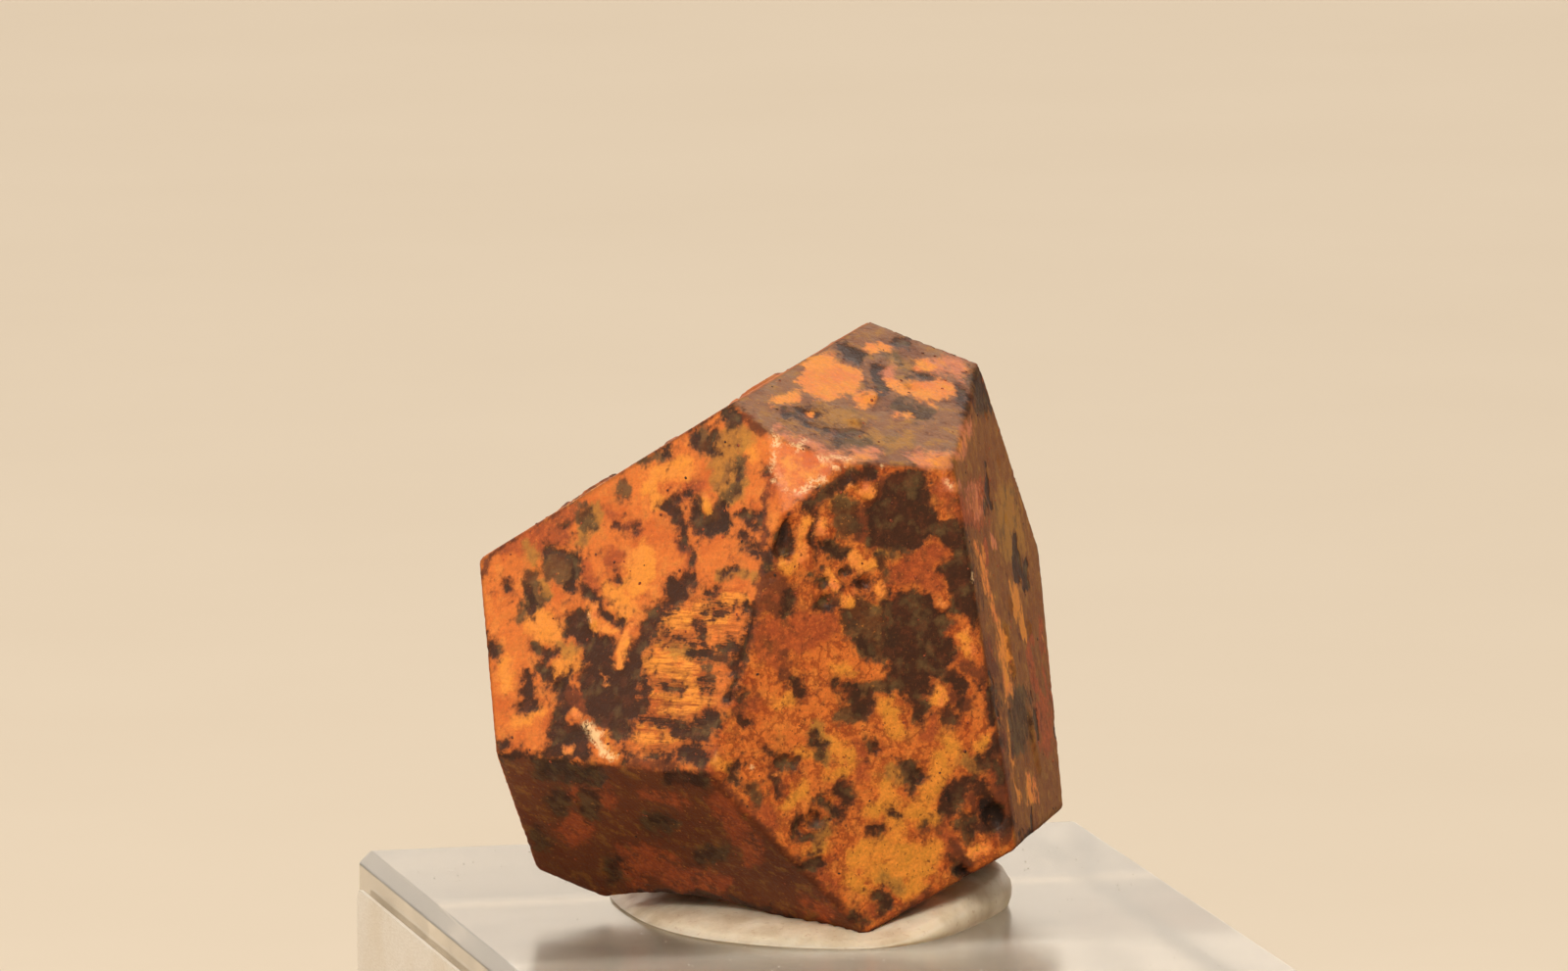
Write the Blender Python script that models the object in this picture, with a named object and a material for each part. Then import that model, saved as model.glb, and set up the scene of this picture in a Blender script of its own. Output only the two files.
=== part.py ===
"""Goethite pseudomorph after a pyrite crystal, set with putty on a clear display block.

The crystal is a pyritohedron: twelve {210} faces and one small {111} facet, each a flat plane
given by its Miller indices and its distance from the crystal's centre. A broken underside sits
in a low lump of mineral putty on the block. Lengths are written in millimetres and turned into
metres by the MM factor. Origin: centre of the block's underside, +Z up, -Y towards the viewer.
"""
import math
import random

import bmesh
import bpy
from mathutils import Euler, Matrix, Vector

MM = 0.001
GAP = 0.3 * MM                    # clearance kept between touching pieces

# ---- display block and its label ----
BLOCK_WIDTH = 50.8 * MM           # across, along X
BLOCK_DEPTH = 63.5 * MM           # front to back, along Y
BLOCK_HEIGHT = 25.4 * MM
BLOCK_CHAMFER = 0.95 * MM         # polished bevel on every edge
LABEL_LENGTH = 58.0 * MM
LABEL_HEIGHT = 20.0 * MM
LABEL_THICKNESS = 0.25 * MM
LABEL_TOP_MARGIN = 2.2 * MM       # from the block's top down to the label

# ---- crystal ----
CRYSTAL_CENTRE = Vector((-2.6, 6.2, 42.6)) * MM
CRYSTAL_AXES = Euler([math.radians(angle) for angle in (86.35, -12.79, 41.67)], "XYZ")
STARTING_CUBE = 100 * MM          # the cube that the faces are cut from
# name: Miller indices, distance from the centre in mm, lean and turn of the real face in degrees
CRYSTAL_FACES = {
    "left": ((-2, 1, 0), 17.2, 2.0, 0.5),
    "top": ((0, 2, 1), 20.8, -1.0, -3.5),
    "right": ((-1, 0, 2), 17.6, 2.5, 5.0),
    "lower_left": ((-2, -1, 0), 18.2, -1.5, 2.0),
    "side": ((1, 0, 2), 16.3, -0.5, 1.5),
    "upper_left": ((0, 2, -1), 15.0, 0.0, 0.0),
    "far_left": ((-1, 0, -2), 17.2, 0.0, -1.5),
    "far_top": ((2, 1, 0), 16.3, -0.5, -5.0),
    "lower_right": ((0, -2, 1), 19.2, -3.0, -0.5),
    "lower_back": ((0, -2, -1), 15.3, 0.0, 0.0),
    "back_right": ((2, -1, 0), 17.4, 4.5, -1.5),
    "back": ((1, 0, -2), 21.8, -2.5, -0.5),
    "corner_facet": ((-1, 1, 1), 21.95, -1.0, 1.5),
}
EDGE_WEAR = 0.32 * MM             # rounding of the crystal's worn edges

# ---- broken underside: a flat seat and a shallow scoop ----
SEAT_HEIGHT = 0.34 * MM           # the lowest point of the crystal above the block
SCOOP_RADIUS = 25.0 * MM
SCOOP_PLACE = Vector((-6.0, 2.0)) * MM
SCOOP_TOP = 2.55 * MM             # highest point of the scoop above the block

# ---- direction the crystal is shown from; marks on it are placed as seen from there ----
VIEW_TURN = math.radians(-13.5)
VIEW_TILT = math.radians(8.74)
VIEW_ORIGIN = Vector((-1.5, 7.3, 43.6)) * MM
VIEW_BACK = Vector((
    math.sin(VIEW_TURN) * math.cos(VIEW_TILT),
    -math.cos(VIEW_TURN) * math.cos(VIEW_TILT),
    math.sin(VIEW_TILT),
))
VIEW_RIGHT = Vector((math.cos(VIEW_TURN), math.sin(VIEW_TURN), 0.0))
VIEW_UP = VIEW_BACK.cross(VIEW_RIGHT)

# ---- putty ----
PUTTY_HALF_WIDTH = 13.0 * MM
PUTTY_HALF_DEPTH = 16.0 * MM
PUTTY_CENTRE = Vector((-0.6, 3.4)) * MM
PUTTY_RIM = 0.9 * MM              # height of its rounded rim at the front left
PUTTY_RISE = 2.2 * MM             # how much higher the middle is
PUTTY_LEAN = 0.09                 # rise towards the right, where it is pressed up higher
PUTTY_SEGMENTS = 56
# shares of the outline: going up the side with the share of the rim's height, then over the top
PUTTY_SIDE = [(0.955, 0.0), (0.99, 0.3), (1.0, 0.62), (0.985, 0.88)]
PUTTY_TOP = [0.955, 0.9, 0.8, 0.65, 0.45, 0.2]


def clear_scene():
    """Remove the objects that a new file starts with."""
    for item in list(bpy.data.objects):
        bpy.data.objects.remove(item, do_unlink=True)


def material(name, colour, roughness, metallic=0.0, transmission=0.0, ior=1.45):
    """Make a plain Principled material."""
    result = bpy.data.materials.new(name)
    result.use_nodes = True
    shader = result.node_tree.nodes["Principled BSDF"]
    shader.inputs["Base Color"].default_value = (*colour, 1.0)
    shader.inputs["Roughness"].default_value = roughness
    shader.inputs["Metallic"].default_value = metallic
    shader.inputs["Transmission Weight"].default_value = transmission
    shader.inputs["IOR"].default_value = ior
    result.diffuse_color = (*colour, 1.0)
    return result


def new_object(name, mesh_builder, surface):
    """Turn a bmesh into a named object with one material."""
    bmesh.ops.recalc_face_normals(mesh_builder, faces=mesh_builder.faces)
    mesh = bpy.data.meshes.new(name)
    mesh_builder.to_mesh(mesh)
    mesh_builder.free()
    if surface:
        mesh.materials.append(surface)
    item = bpy.data.objects.new(name, mesh)
    bpy.context.scene.collection.objects.link(item)
    return item


def boolean(target, name, mesh_builder, operation, cutters_overlap=False):
    """Cut a target with a hidden cutter, or join the cutter's lumps to it."""
    cutter = new_object(name, mesh_builder, None)
    cutter.hide_render = True
    cutter.display_type = "WIRE"
    step = target.modifiers.new(name, "BOOLEAN")
    step.operation = operation
    step.solver = "EXACT"
    step.object = cutter
    step.use_self = cutters_overlap


def bevel(target, width, segments, angle):
    """Round the sharp edges of a target."""
    step = target.modifiers.new("edge_rounding", "BEVEL")
    step.width = width
    step.segments = segments
    step.limit_method = "ANGLE"
    step.angle_limit = math.radians(angle)


# ------------------------------------------------------------------ crystal geometry
def face_plane(name, grow=0.0):
    """Outward normal and a point of one crystal face, moved outwards by grow."""
    indices, distance, lean, turn = CRYSTAL_FACES[name]
    normal = CRYSTAL_AXES.to_matrix() @ Vector(indices).normalized()
    level = normal.cross(Vector((0.0, 0.0, 1.0))).normalized()
    steep = normal.cross(level)
    spin = level * math.radians(lean) + steep * math.radians(turn)
    if spin.length > 0.0:
        normal = Matrix.Rotation(spin.length, 3, spin) @ normal
    return normal, CRYSTAL_CENTRE + normal * (distance * MM + grow)


def growth_direction(name):
    """Direction of the growth lines on a face: the crystal axis that the face is parallel to."""
    indices = CRYSTAL_FACES[name][0]
    axis = Vector([1.0 if index == 0 else 0.0 for index in indices])
    if axis.length == 0.0:
        axis = Vector((0.0, 0.0, 1.0))
    normal, _ = face_plane(name)
    along = CRYSTAL_AXES.to_matrix() @ axis
    return (along - normal * along.dot(normal)).normalized()


def convex_crystal(grow=0.0):
    """The closed crystal form: a block cut by every face plane in turn."""
    shape = bmesh.new()
    bmesh.ops.create_cube(shape, size=STARTING_CUBE)
    bmesh.ops.translate(shape, verts=shape.verts, vec=CRYSTAL_CENTRE)
    for name in CRYSTAL_FACES:
        normal, point = face_plane(name, grow)
        geometry = shape.verts[:] + shape.edges[:] + shape.faces[:]
        bmesh.ops.bisect_plane(
            shape, geom=geometry, dist=0.001 * MM, plane_co=point, plane_no=normal, clear_outer=True
        )
        rim = [edge for edge in shape.edges if len(edge.link_faces) == 1]
        bmesh.ops.edgeloop_fill(shape, edges=rim)
    return shape


def cut_flat_underside(shape, height):
    """Cut the crystal form off at a height above the block."""
    geometry = shape.verts[:] + shape.edges[:] + shape.faces[:]
    seat = Vector((0.0, 0.0, BLOCK_HEIGHT + height))
    bmesh.ops.bisect_plane(
        shape, geom=geometry, dist=0.001 * MM, plane_co=seat, plane_no=(0, 0, -1), clear_outer=True
    )
    rim = [edge for edge in shape.edges if len(edge.link_faces) == 1]
    bmesh.ops.edgeloop_fill(shape, edges=rim)


def scoop(radius):
    """The ball that hollows the broken underside."""
    shape = bmesh.new()
    bmesh.ops.create_uvsphere(shape, u_segments=56, v_segments=36, radius=radius)
    centre = Vector((SCOOP_PLACE.x, SCOOP_PLACE.y, BLOCK_HEIGHT + SCOOP_TOP - SCOOP_RADIUS))
    bmesh.ops.translate(shape, verts=shape.verts, vec=centre)
    return shape


# ------------------------------------------------------------------ marks on the crystal
def seen_at(face, across, up):
    """Point of a face that is seen at (across, up) millimetres from the view's origin."""
    normal, point = face_plane(face)
    start = VIEW_ORIGIN + VIEW_RIGHT * (across * MM) + VIEW_UP * (up * MM)
    return start + VIEW_BACK * ((point - start).dot(normal) / VIEW_BACK.dot(normal))


def place(shape, verts, point, normal, along, size):
    """Scale a unit form by size and stand it on a face: length along, width, depth along normal."""
    wide = normal.cross(along).normalized()
    frame = Matrix((along, wide, normal)).transposed().to_4x4()
    scale = Matrix.Diagonal((*[value * MM for value in size], 1.0))
    centre = point + normal * (STAND_OFF * size[2] * MM)
    bmesh.ops.transform(shape, verts=verts, matrix=Matrix.Translation(centre) @ frame @ scale)


def add_blob(shape, point, normal, along, size, rough, dice, detail=2):
    """Add an uneven round form, used for pits and lumps."""
    made = bmesh.ops.create_icosphere(shape, subdivisions=detail, radius=1.0)
    for vert in made["verts"]:
        vert.co *= 1.0 + rough * dice.uniform(-1.0, 1.0)
    place(shape, made["verts"], point, normal, along, size)


def add_spindle(shape, point, normal, along, size):
    """Add a long eight-sided form that tapers to both ends, used for grooves and chips."""
    tips = [(1, 0, 0), (-1, 0, 0), (0, 1, 0), (0, -1, 0), (0, 0, 1), (0, 0, -1)]
    verts = [shape.verts.new(tip) for tip in tips]
    for end in (0, 1):
        for side in (2, 3):
            for top in (4, 5):
                shape.faces.new((verts[end], verts[side], verts[top]))
    place(shape, verts, point, normal, along, size)


def face_corners(name, form):
    """Corners of one face of the closed crystal form."""
    normal, _ = face_plane(name)
    best = max(form.faces, key=lambda face: face.normal.dot(normal))
    return [vert.co.copy() for vert in best.verts]


def free_spot(corners, taken, reach, dice):
    """A point inside a face, off its edges, whose mark doesn't run into the marks already there."""
    middle = sum(corners, Vector()) / len(corners)
    for _ in range(SPOT_TRIES):
        index = dice.randrange(len(corners))
        edge_point = corners[index].lerp(corners[(index + 1) % len(corners)], dice.random())
        point = middle.lerp(edge_point, SPOT_SPREAD * math.sqrt(dice.random()))
        if all((point - other).length > (reach + room) * MM for other, room in taken):
            taken.append((point, reach))
            return point
    return None


# Pits: face, across, up, half-length, half-width, depth (mm)
PITS = [
    ("right", 2.6, 1.8, 0.85, 0.5, 0.45), ("right", 2.6, 3.0, 0.5, 0.4, 0.4),
    ("right", 4.0, 3.6, 0.45, 0.35, 0.35), ("right", 4.4, 2.7, 0.4, 0.4, 0.35),
    ("right", 5.3, 3.2, 0.7, 0.45, 0.4), ("right", 6.9, 2.2, 0.35, 0.3, 0.3),
    ("right", 13.9, -12.3, 0.9, 0.8, 0.8), ("right", 11.9, -16.1, 0.6, 0.5, 0.6),
    ("right", 1.9, -12.3, 0.6, 0.5, 0.4), ("right", 3.3, -11.4, 0.5, 0.4, 0.4),
    ("right", 1.0, -13.1, 0.5, 0.4, 0.4), ("right", 9.0, -9.6, 0.6, 0.4, 0.35),
    ("right", 6.0, -7.9, 0.5, 0.4, 0.3), ("left", -5.0, 2.1, 0.45, 0.3, 0.3),
    ("left", -14.9, -3.9, 0.6, 0.5, 0.3), ("left", -16.3, 3.6, 0.6, 0.45, 0.3),
    ("top", 1.6, 14.1, 0.6, 0.4, 0.25), ("top", 8.4, 15.8, 0.7, 0.4, 0.3),
]
# Lumps: face, across, up, half-length, half-width, height (mm)
LUMPS = [
    ("right", 5.6, 8.9, 0.65, 0.6, 0.32), ("right", 2.7, 6.2, 0.8, 0.55, 0.25),
    ("right", 0.2, 4.1, 0.8, 0.6, 0.25), ("right", 4.4, 9.4, 0.4, 0.35, 0.22),
    ("right", 10.4, 1.5, 0.45, 0.4, 0.2), ("right", -4.2, -9.0, 0.9, 0.6, 0.25),
    ("left", -12.6, 0.4, 0.5, 0.45, 0.2), ("left", -12.3, 1.4, 0.45, 0.4, 0.2),
    ("left", -5.1, 8.3, 0.4, 0.8, 0.2), ("top", 4.7, 13.6, 0.4, 0.35, 0.2),
    ("top", 5.7, 15.2, 0.8, 0.5, 0.2), ("top", 10.6, 11.2, 1.0, 0.5, 0.2),
]
# Chips along edges: face, across, up, half-length, half-width, depth, direction on the view (deg)
CHIPS = [
    ("right", -2.2, 0.4, 1.4, 0.45, 0.40, 76), ("right", -2.8, -2.2, 1.7, 0.5, 0.42, 74),
    ("right", -3.8, -4.8, 1.5, 0.6, 0.45, 62), ("right", -0.9, 3.4, 1.3, 0.6, 0.40, 70),
    ("right", -4.7, -6.9, 1.3, 0.7, 0.40, 100), ("left", -12.4, -7.5, 1.5, 0.5, 0.45, -52),
    ("left", -7.9, -8.9, 2.2, 0.7, 0.40, -12), ("left", -10.6, -9.0, 1.2, 0.5, 0.35, -5),
    ("right", 1.3, -13.3, 1.2, 0.5, 0.35, -38), ("right", 4.0, -18.3, 1.4, 0.5, 0.40, -44),
    ("right", 9.2, -18.2, 1.6, 0.6, 0.45, 30), ("right", 14.7, -14.4, 1.3, 0.6, 0.45, 74),
    ("right", 2.1, 5.6, 1.5, 0.2, 0.30, 84), ("corner_facet", 1.6, 11.2, 2.0, 0.3, 0.15, 8),
    ("corner_facet", 0.9, 9.0, 1.6, 0.3, 0.15, 14),
]
# Growth lines on the left face: across, up, half-length (mm)
GROWTH_LINES = [
    (-4.8, 1.4, 2.4), (-5.6, 0.6, 2.0), (-4.2, -0.1, 1.6), (-7.0, -0.7, 1.5),
    (-5.0, -1.4, 2.6), (-7.3, -2.1, 1.7), (-4.6, -2.2, 1.2), (-6.8, -3.0, 2.2),
    (-6.3, -3.9, 2.6), (-7.6, -4.9, 1.7), (-5.4, -5.2, 1.4), (-7.2, -6.0, 2.4),
    (-8.4, -7.0, 2.4), (-6.0, -7.6, 1.7), (-9.5, -8.0, 1.8), (-3.3, 3.3, 1.2),
]
GROWTH_LINE_HALF_WIDTH = 0.26     # mm
GROWTH_LINE_DEPTH = 0.22          # mm
# Strewn marks: face, lumps, growth steps, pits, growth lines
STREWN = [
    ("side", 2, 2, 4, 8), ("lower_left", 0, 0, 4, 5), ("upper_left", 4, 3, 6, 8),
    ("far_left", 4, 3, 7, 8), ("far_top", 4, 3, 7, 8), ("back_right", 4, 4, 8, 10),
    ("back", 4, 4, 8, 10), ("lower_back", 0, 0, 5, 6), ("lower_right", 0, 0, 3, 3),
]
# Smallest and largest half-length, half-width and height or depth of a strewn mark (mm)
STREWN_SIZES = {
    "lump": ((0.4, 0.35, 0.15), (1.1, 0.8, 0.3)),
    "plate": ((1.6, 0.7, 0.14), (4.0, 1.5, 0.22)),
    "pit": ((0.3, 0.25, 0.2), (0.8, 0.5, 0.45)),
    "line": ((1.2, 0.2, 0.14), (3.2, 0.4, 0.26)),
}
STAND_OFF = 0.23                  # share of its depth that a mark's middle stands off the face
SPOT_TRIES = 60
SPOT_SPREAD = 0.82                # share of the way from a face's middle to its edge


def view_direction(face, angle):
    """Unit vector on a face that is seen at an angle from the view's horizontal."""
    normal, _ = face_plane(face)
    turn = math.radians(angle)
    seen = VIEW_RIGHT * math.cos(turn) + VIEW_UP * math.sin(turn)
    flat = seen - VIEW_BACK * (seen.dot(normal) / VIEW_BACK.dot(normal))
    return flat.normalized()


def listed_pits(dice):
    """The pits of the listed places."""
    shape = bmesh.new()
    for face, across, up, half_length, half_width, depth in PITS:
        normal, _ = face_plane(face)
        size = (half_length, half_width, depth)
        add_blob(shape, seen_at(face, across, up), normal, growth_direction(face), size, 0.12, dice)
    return shape


def listed_grooves():
    """Chips along the edges and the growth lines of the left face."""
    shape = bmesh.new()
    for face, across, up, half_length, half_width, depth, angle in CHIPS:
        normal, _ = face_plane(face)
        along = view_direction(face, angle)
        add_spindle(shape, seen_at(face, across, up), normal, along, (half_length, half_width, depth))
    normal, _ = face_plane("left")
    for across, up, half_length in GROWTH_LINES:
        size = (half_length, GROWTH_LINE_HALF_WIDTH, GROWTH_LINE_DEPTH)
        add_spindle(shape, seen_at("left", across, up), normal, growth_direction("left"), size)
    return shape


def add_plate(shape, point, normal, along, size, dice):
    """Add a low growth step: an uneven six-sided plate with sloping sides, rooted in the face."""
    rings = []
    for level, spread in ((-1.5, 1.15), (1.0, 1.0)):
        ring = []
        for corner in range(6):
            angle = math.tau * (corner + 0.5) / 6
            ring.append(shape.verts.new((spread * math.cos(angle), spread * math.sin(angle), level)))
        rings.append(ring)
    for low, high in zip(rings[0], rings[1]):
        reach = dice.uniform(0.75, 1.1)
        for vert in (low, high):
            vert.co.x *= reach
            vert.co.y *= reach
    shape.faces.new(rings[1])
    shape.faces.new(rings[0][::-1])
    for corner in range(6):
        following = (corner + 1) % 6
        shape.faces.new((rings[0][corner], rings[0][following], rings[1][following], rings[1][corner]))
    place(shape, rings[0] + rings[1], point, normal, along, size)


def strewn_marks(dice, form):
    """Rises and hollows on the faces that carry few listed marks, clear of one another."""
    rises = bmesh.new()
    hollows = bmesh.new()
    taken = []
    for face, lumps, plates, pits, lines in STREWN:
        normal, _ = face_plane(face)
        along = growth_direction(face)
        corners = face_corners(face, form)
        for kind in ["plate"] * plates + ["line"] * lines + ["lump"] * lumps + ["pit"] * pits:
            low, high = STREWN_SIZES[kind]
            size = [dice.uniform(small, large) for small, large in zip(low, high)]
            point = free_spot(corners, taken, size[0], dice)
            if point is None:
                continue
            if kind == "plate":
                add_plate(rises, point, normal, along, size, dice)
            elif kind == "lump":
                add_blob(rises, point, normal, along, size, 0.1, dice, detail=1)
            elif kind == "pit":
                add_blob(hollows, point, normal, along, size, 0.15, dice, detail=1)
            else:
                add_spindle(hollows, point, normal, along, size)
    return rises, hollows


def listed_lumps(dice):
    """The lumps of the listed places."""
    shape = bmesh.new()
    for face, across, up, half_length, half_width, height in LUMPS:
        normal, _ = face_plane(face)
        size = (half_length, half_width, height)
        add_blob(shape, seen_at(face, across, up), normal, growth_direction(face), size, 0.08, dice)
    return shape


def build_crystal(surface):
    """The crystal as one solid, with its worn edges, hollows, lumps and broken underside."""
    dice = random.Random(7)
    form = convex_crystal()
    cut_flat_underside(form, SEAT_HEIGHT)
    form.normal_update()
    rises, hollows = strewn_marks(dice, form)
    crystal = new_object("goethite_crystal", form, surface)
    bevel(crystal, EDGE_WEAR, 2, 18)
    boolean(crystal, "underside_scoop", scoop(SCOOP_RADIUS), "DIFFERENCE")
    boolean(crystal, "strewn_rises", rises, "UNION")
    boolean(crystal, "strewn_hollows", hollows, "DIFFERENCE")
    boolean(crystal, "lumps", listed_lumps(dice), "UNION")
    boolean(crystal, "grooves", listed_grooves(), "DIFFERENCE")
    boolean(crystal, "pits", listed_pits(dice), "DIFFERENCE", cutters_overlap=True)


# ------------------------------------------------------------------ putty
def putty_outline(angle):
    """Half-size of the putty's uneven outline at an angle around it."""
    ripple = 1.0 + 0.035 * math.sin(3 * angle + 0.6) + 0.02 * math.sin(5 * angle + 2.0)
    return ripple * PUTTY_HALF_WIDTH * math.cos(angle), ripple * PUTTY_HALF_DEPTH * math.sin(angle)


def putty_height(across, inward):
    """Height of the putty's top, by the place across it and the share of the way to its middle."""
    swell = PUTTY_RISE * math.sin(0.5 * math.pi * inward)
    return PUTTY_RIM + swell + PUTTY_LEAN * max(0.0, across + PUTTY_HALF_WIDTH)


def putty_form():
    """A low lump with a flat underside, a rounded rim and a domed top."""
    shape = bmesh.new()
    floor = BLOCK_HEIGHT + GAP
    rows = []
    for share, level in PUTTY_SIDE + [(share, 1.0) for share in PUTTY_TOP]:
        row = []
        for index in range(PUTTY_SEGMENTS):
            half_width, half_depth = putty_outline(math.tau * index / PUTTY_SEGMENTS)
            x = half_width * share
            y = half_depth * share
            inward = 1.0 - share if level == 1.0 else 0.0
            height = level * (putty_height(x, inward) - GAP)
            row.append(shape.verts.new((PUTTY_CENTRE.x + x, PUTTY_CENTRE.y + y, floor + height)))
        rows.append(row)
    for lower, upper in zip(rows, rows[1:]):
        for index in range(PUTTY_SEGMENTS):
            following = (index + 1) % PUTTY_SEGMENTS
            shape.faces.new((lower[index], lower[following], upper[following], upper[index]))
    shape.faces.new(rows[0][::-1])
    shape.faces.new(rows[-1])
    return shape


def build_putty(surface):
    """The putty, pressed to the shape of the crystal's underside."""
    putty = new_object("mounting_putty", putty_form(), surface)
    imprint = convex_crystal(GAP)
    cut_flat_underside(imprint, SEAT_HEIGHT - GAP)
    press = new_object("crystal_imprint", imprint, None)
    boolean(press, "imprint_scoop", scoop(SCOOP_RADIUS - GAP), "DIFFERENCE")
    press.hide_render = True
    press.display_type = "WIRE"
    step = putty.modifiers.new("crystal_imprint", "BOOLEAN")
    step.operation = "DIFFERENCE"
    step.solver = "EXACT"
    step.object = press


# ------------------------------------------------------------------ block and label
def box(width, depth, height, centre):
    """A plain box form."""
    shape = bmesh.new()
    bmesh.ops.create_cube(shape, size=1.0)
    bmesh.ops.scale(shape, verts=shape.verts, vec=(width, depth, height))
    bmesh.ops.translate(shape, verts=shape.verts, vec=centre)
    return shape


def build_block(surface):
    """The clear block, bevelled along all its edges."""
    centre = (0.0, 0.0, BLOCK_HEIGHT / 2)
    block = new_object("acrylic_block", box(BLOCK_WIDTH, BLOCK_DEPTH, BLOCK_HEIGHT, centre), surface)
    bevel(block, BLOCK_CHAMFER, 1, 30)


def build_label(surface):
    """The thin bare card label on the block's left side."""
    x = -BLOCK_WIDTH / 2 - GAP - LABEL_THICKNESS / 2
    z = BLOCK_HEIGHT - LABEL_TOP_MARGIN - LABEL_HEIGHT / 2
    new_object("paper_label", box(LABEL_THICKNESS, LABEL_LENGTH, LABEL_HEIGHT, (x, 0.0, z)), surface)


def main():
    """Build every piece."""
    clear_scene()
    goethite = material("goethite", (0.45, 0.16, 0.045), 0.55)
    putty = material("putty", (0.78, 0.72, 0.62), 0.45)
    acrylic = material("acrylic", (0.95, 0.95, 0.94), 0.05, transmission=1.0, ior=1.49)
    card = material("card", (0.88, 0.86, 0.80), 0.8)
    build_block(acrylic)
    build_label(card)
    build_putty(putty)
    build_crystal(goethite)


main()
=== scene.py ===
"""Goethite crystal after pyrite on a clear display block: surfaces, putty, label and studio."""
import math

import bmesh
import bpy
import numpy as np
from bpy.props import FloatProperty, FloatVectorProperty, IntProperty, PointerProperty
from mathutils import Euler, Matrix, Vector, noise
from mathutils.bvhtree import BVHTree


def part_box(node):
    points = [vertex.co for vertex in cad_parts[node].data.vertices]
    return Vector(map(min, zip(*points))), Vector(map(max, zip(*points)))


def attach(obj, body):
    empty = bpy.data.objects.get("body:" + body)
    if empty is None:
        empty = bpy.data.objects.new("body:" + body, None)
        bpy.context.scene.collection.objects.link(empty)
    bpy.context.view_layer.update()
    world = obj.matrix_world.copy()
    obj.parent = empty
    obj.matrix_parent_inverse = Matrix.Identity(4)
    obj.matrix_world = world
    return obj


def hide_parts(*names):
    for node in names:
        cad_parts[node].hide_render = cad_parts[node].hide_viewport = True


bl_info = {
    "name": "Goethite crystal on a display block",
    "version": (1, 0, 0),
    "blender": (4, 5, 0),
    "location": "3D View > Sidebar > Goethite",
    "description": "Builds a stained goethite crystal with its putty, clear block, label and studio",
    "category": "Add Mesh",
}

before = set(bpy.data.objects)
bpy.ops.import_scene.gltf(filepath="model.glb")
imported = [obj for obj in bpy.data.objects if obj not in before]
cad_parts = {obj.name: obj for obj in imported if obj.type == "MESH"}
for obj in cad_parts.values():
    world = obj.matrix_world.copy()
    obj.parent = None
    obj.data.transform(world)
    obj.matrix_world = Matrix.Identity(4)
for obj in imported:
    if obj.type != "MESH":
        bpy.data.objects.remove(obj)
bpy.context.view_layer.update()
MM = 0.001

# ---- viewing direction; the stains on the front are measured as seen from there ----
CAMERA_PLACE = (-0.24171, -0.99240, 0.21112)  # m
VIEW_TURN = math.radians(-13.512)
VIEW_TILT = math.radians(8.737)
LENS = 360.0                      # mm, on a sensor 36 mm wide
SEEN_SCALE = 1038.96              # mm, distance at which a seen millimetre is a true one
SEEN_RAISE = 9.383                # mm, from the middle of the view down to the stains' origin

# ---- crystal axes and faces ----
CRYSTAL_AXES = Euler([math.radians(angle) for angle in (86.35, -12.79, 41.67)], "XYZ")
# name: outward normal, ground colour (sRGB 0 to 255), roughness, how cloudy its colour is
FACE_TONES = {
    "left": ((-0.766, -0.598, 0.235), (222, 119, 46), 0.58, 0.25),
    # the top face's ground colour is lightened partly as a painted sheen, over its own mauve-brown
    "top": ((0.126, -0.455, 0.881), (146, 98, 66), 0.50, 1.00),
    "right": ((0.187, -0.981, -0.058), (216, 114, 42), 0.58, 0.35),
    # the lower left face's ground colour is darkened partly as painted shade, over its own red-brown
    "lower_left": ((-0.57, -0.483, -0.665), (112, 55, 22), 0.62, 0.55),
    "side": ((0.896, -0.423, 0.132), (140, 84, 36), 0.80, 0.70),
    "upper_left": ((-0.479, 0.259, 0.839), (208, 112, 48), 0.55, 0.50),
    "far_left": ((-0.892, 0.428, -0.145), (212, 112, 44), 0.58, 0.45),
    "far_top": ((0.573, 0.5, 0.649), (158, 94, 54), 0.50, 0.80),
    "lower_right": ((0.485, -0.248, -0.839), (132, 64, 28), 0.60, 0.60),
    "lower_back": ((-0.08, 0.448, -0.891), (124, 60, 27), 0.60, 0.60),
    "back_right": ((0.766, 0.598, -0.235), (210, 110, 42), 0.57, 0.45),
    "back": ((-0.187, 0.981, 0.058), (216, 114, 42), 0.57, 0.45),
    "corner_facet": ((-0.211, -0.868, 0.45), (222, 114, 42), 0.46, 0.15),
}
FACE_BLEND = 45.0                 # how sharply the ground colour changes over an edge
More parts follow.
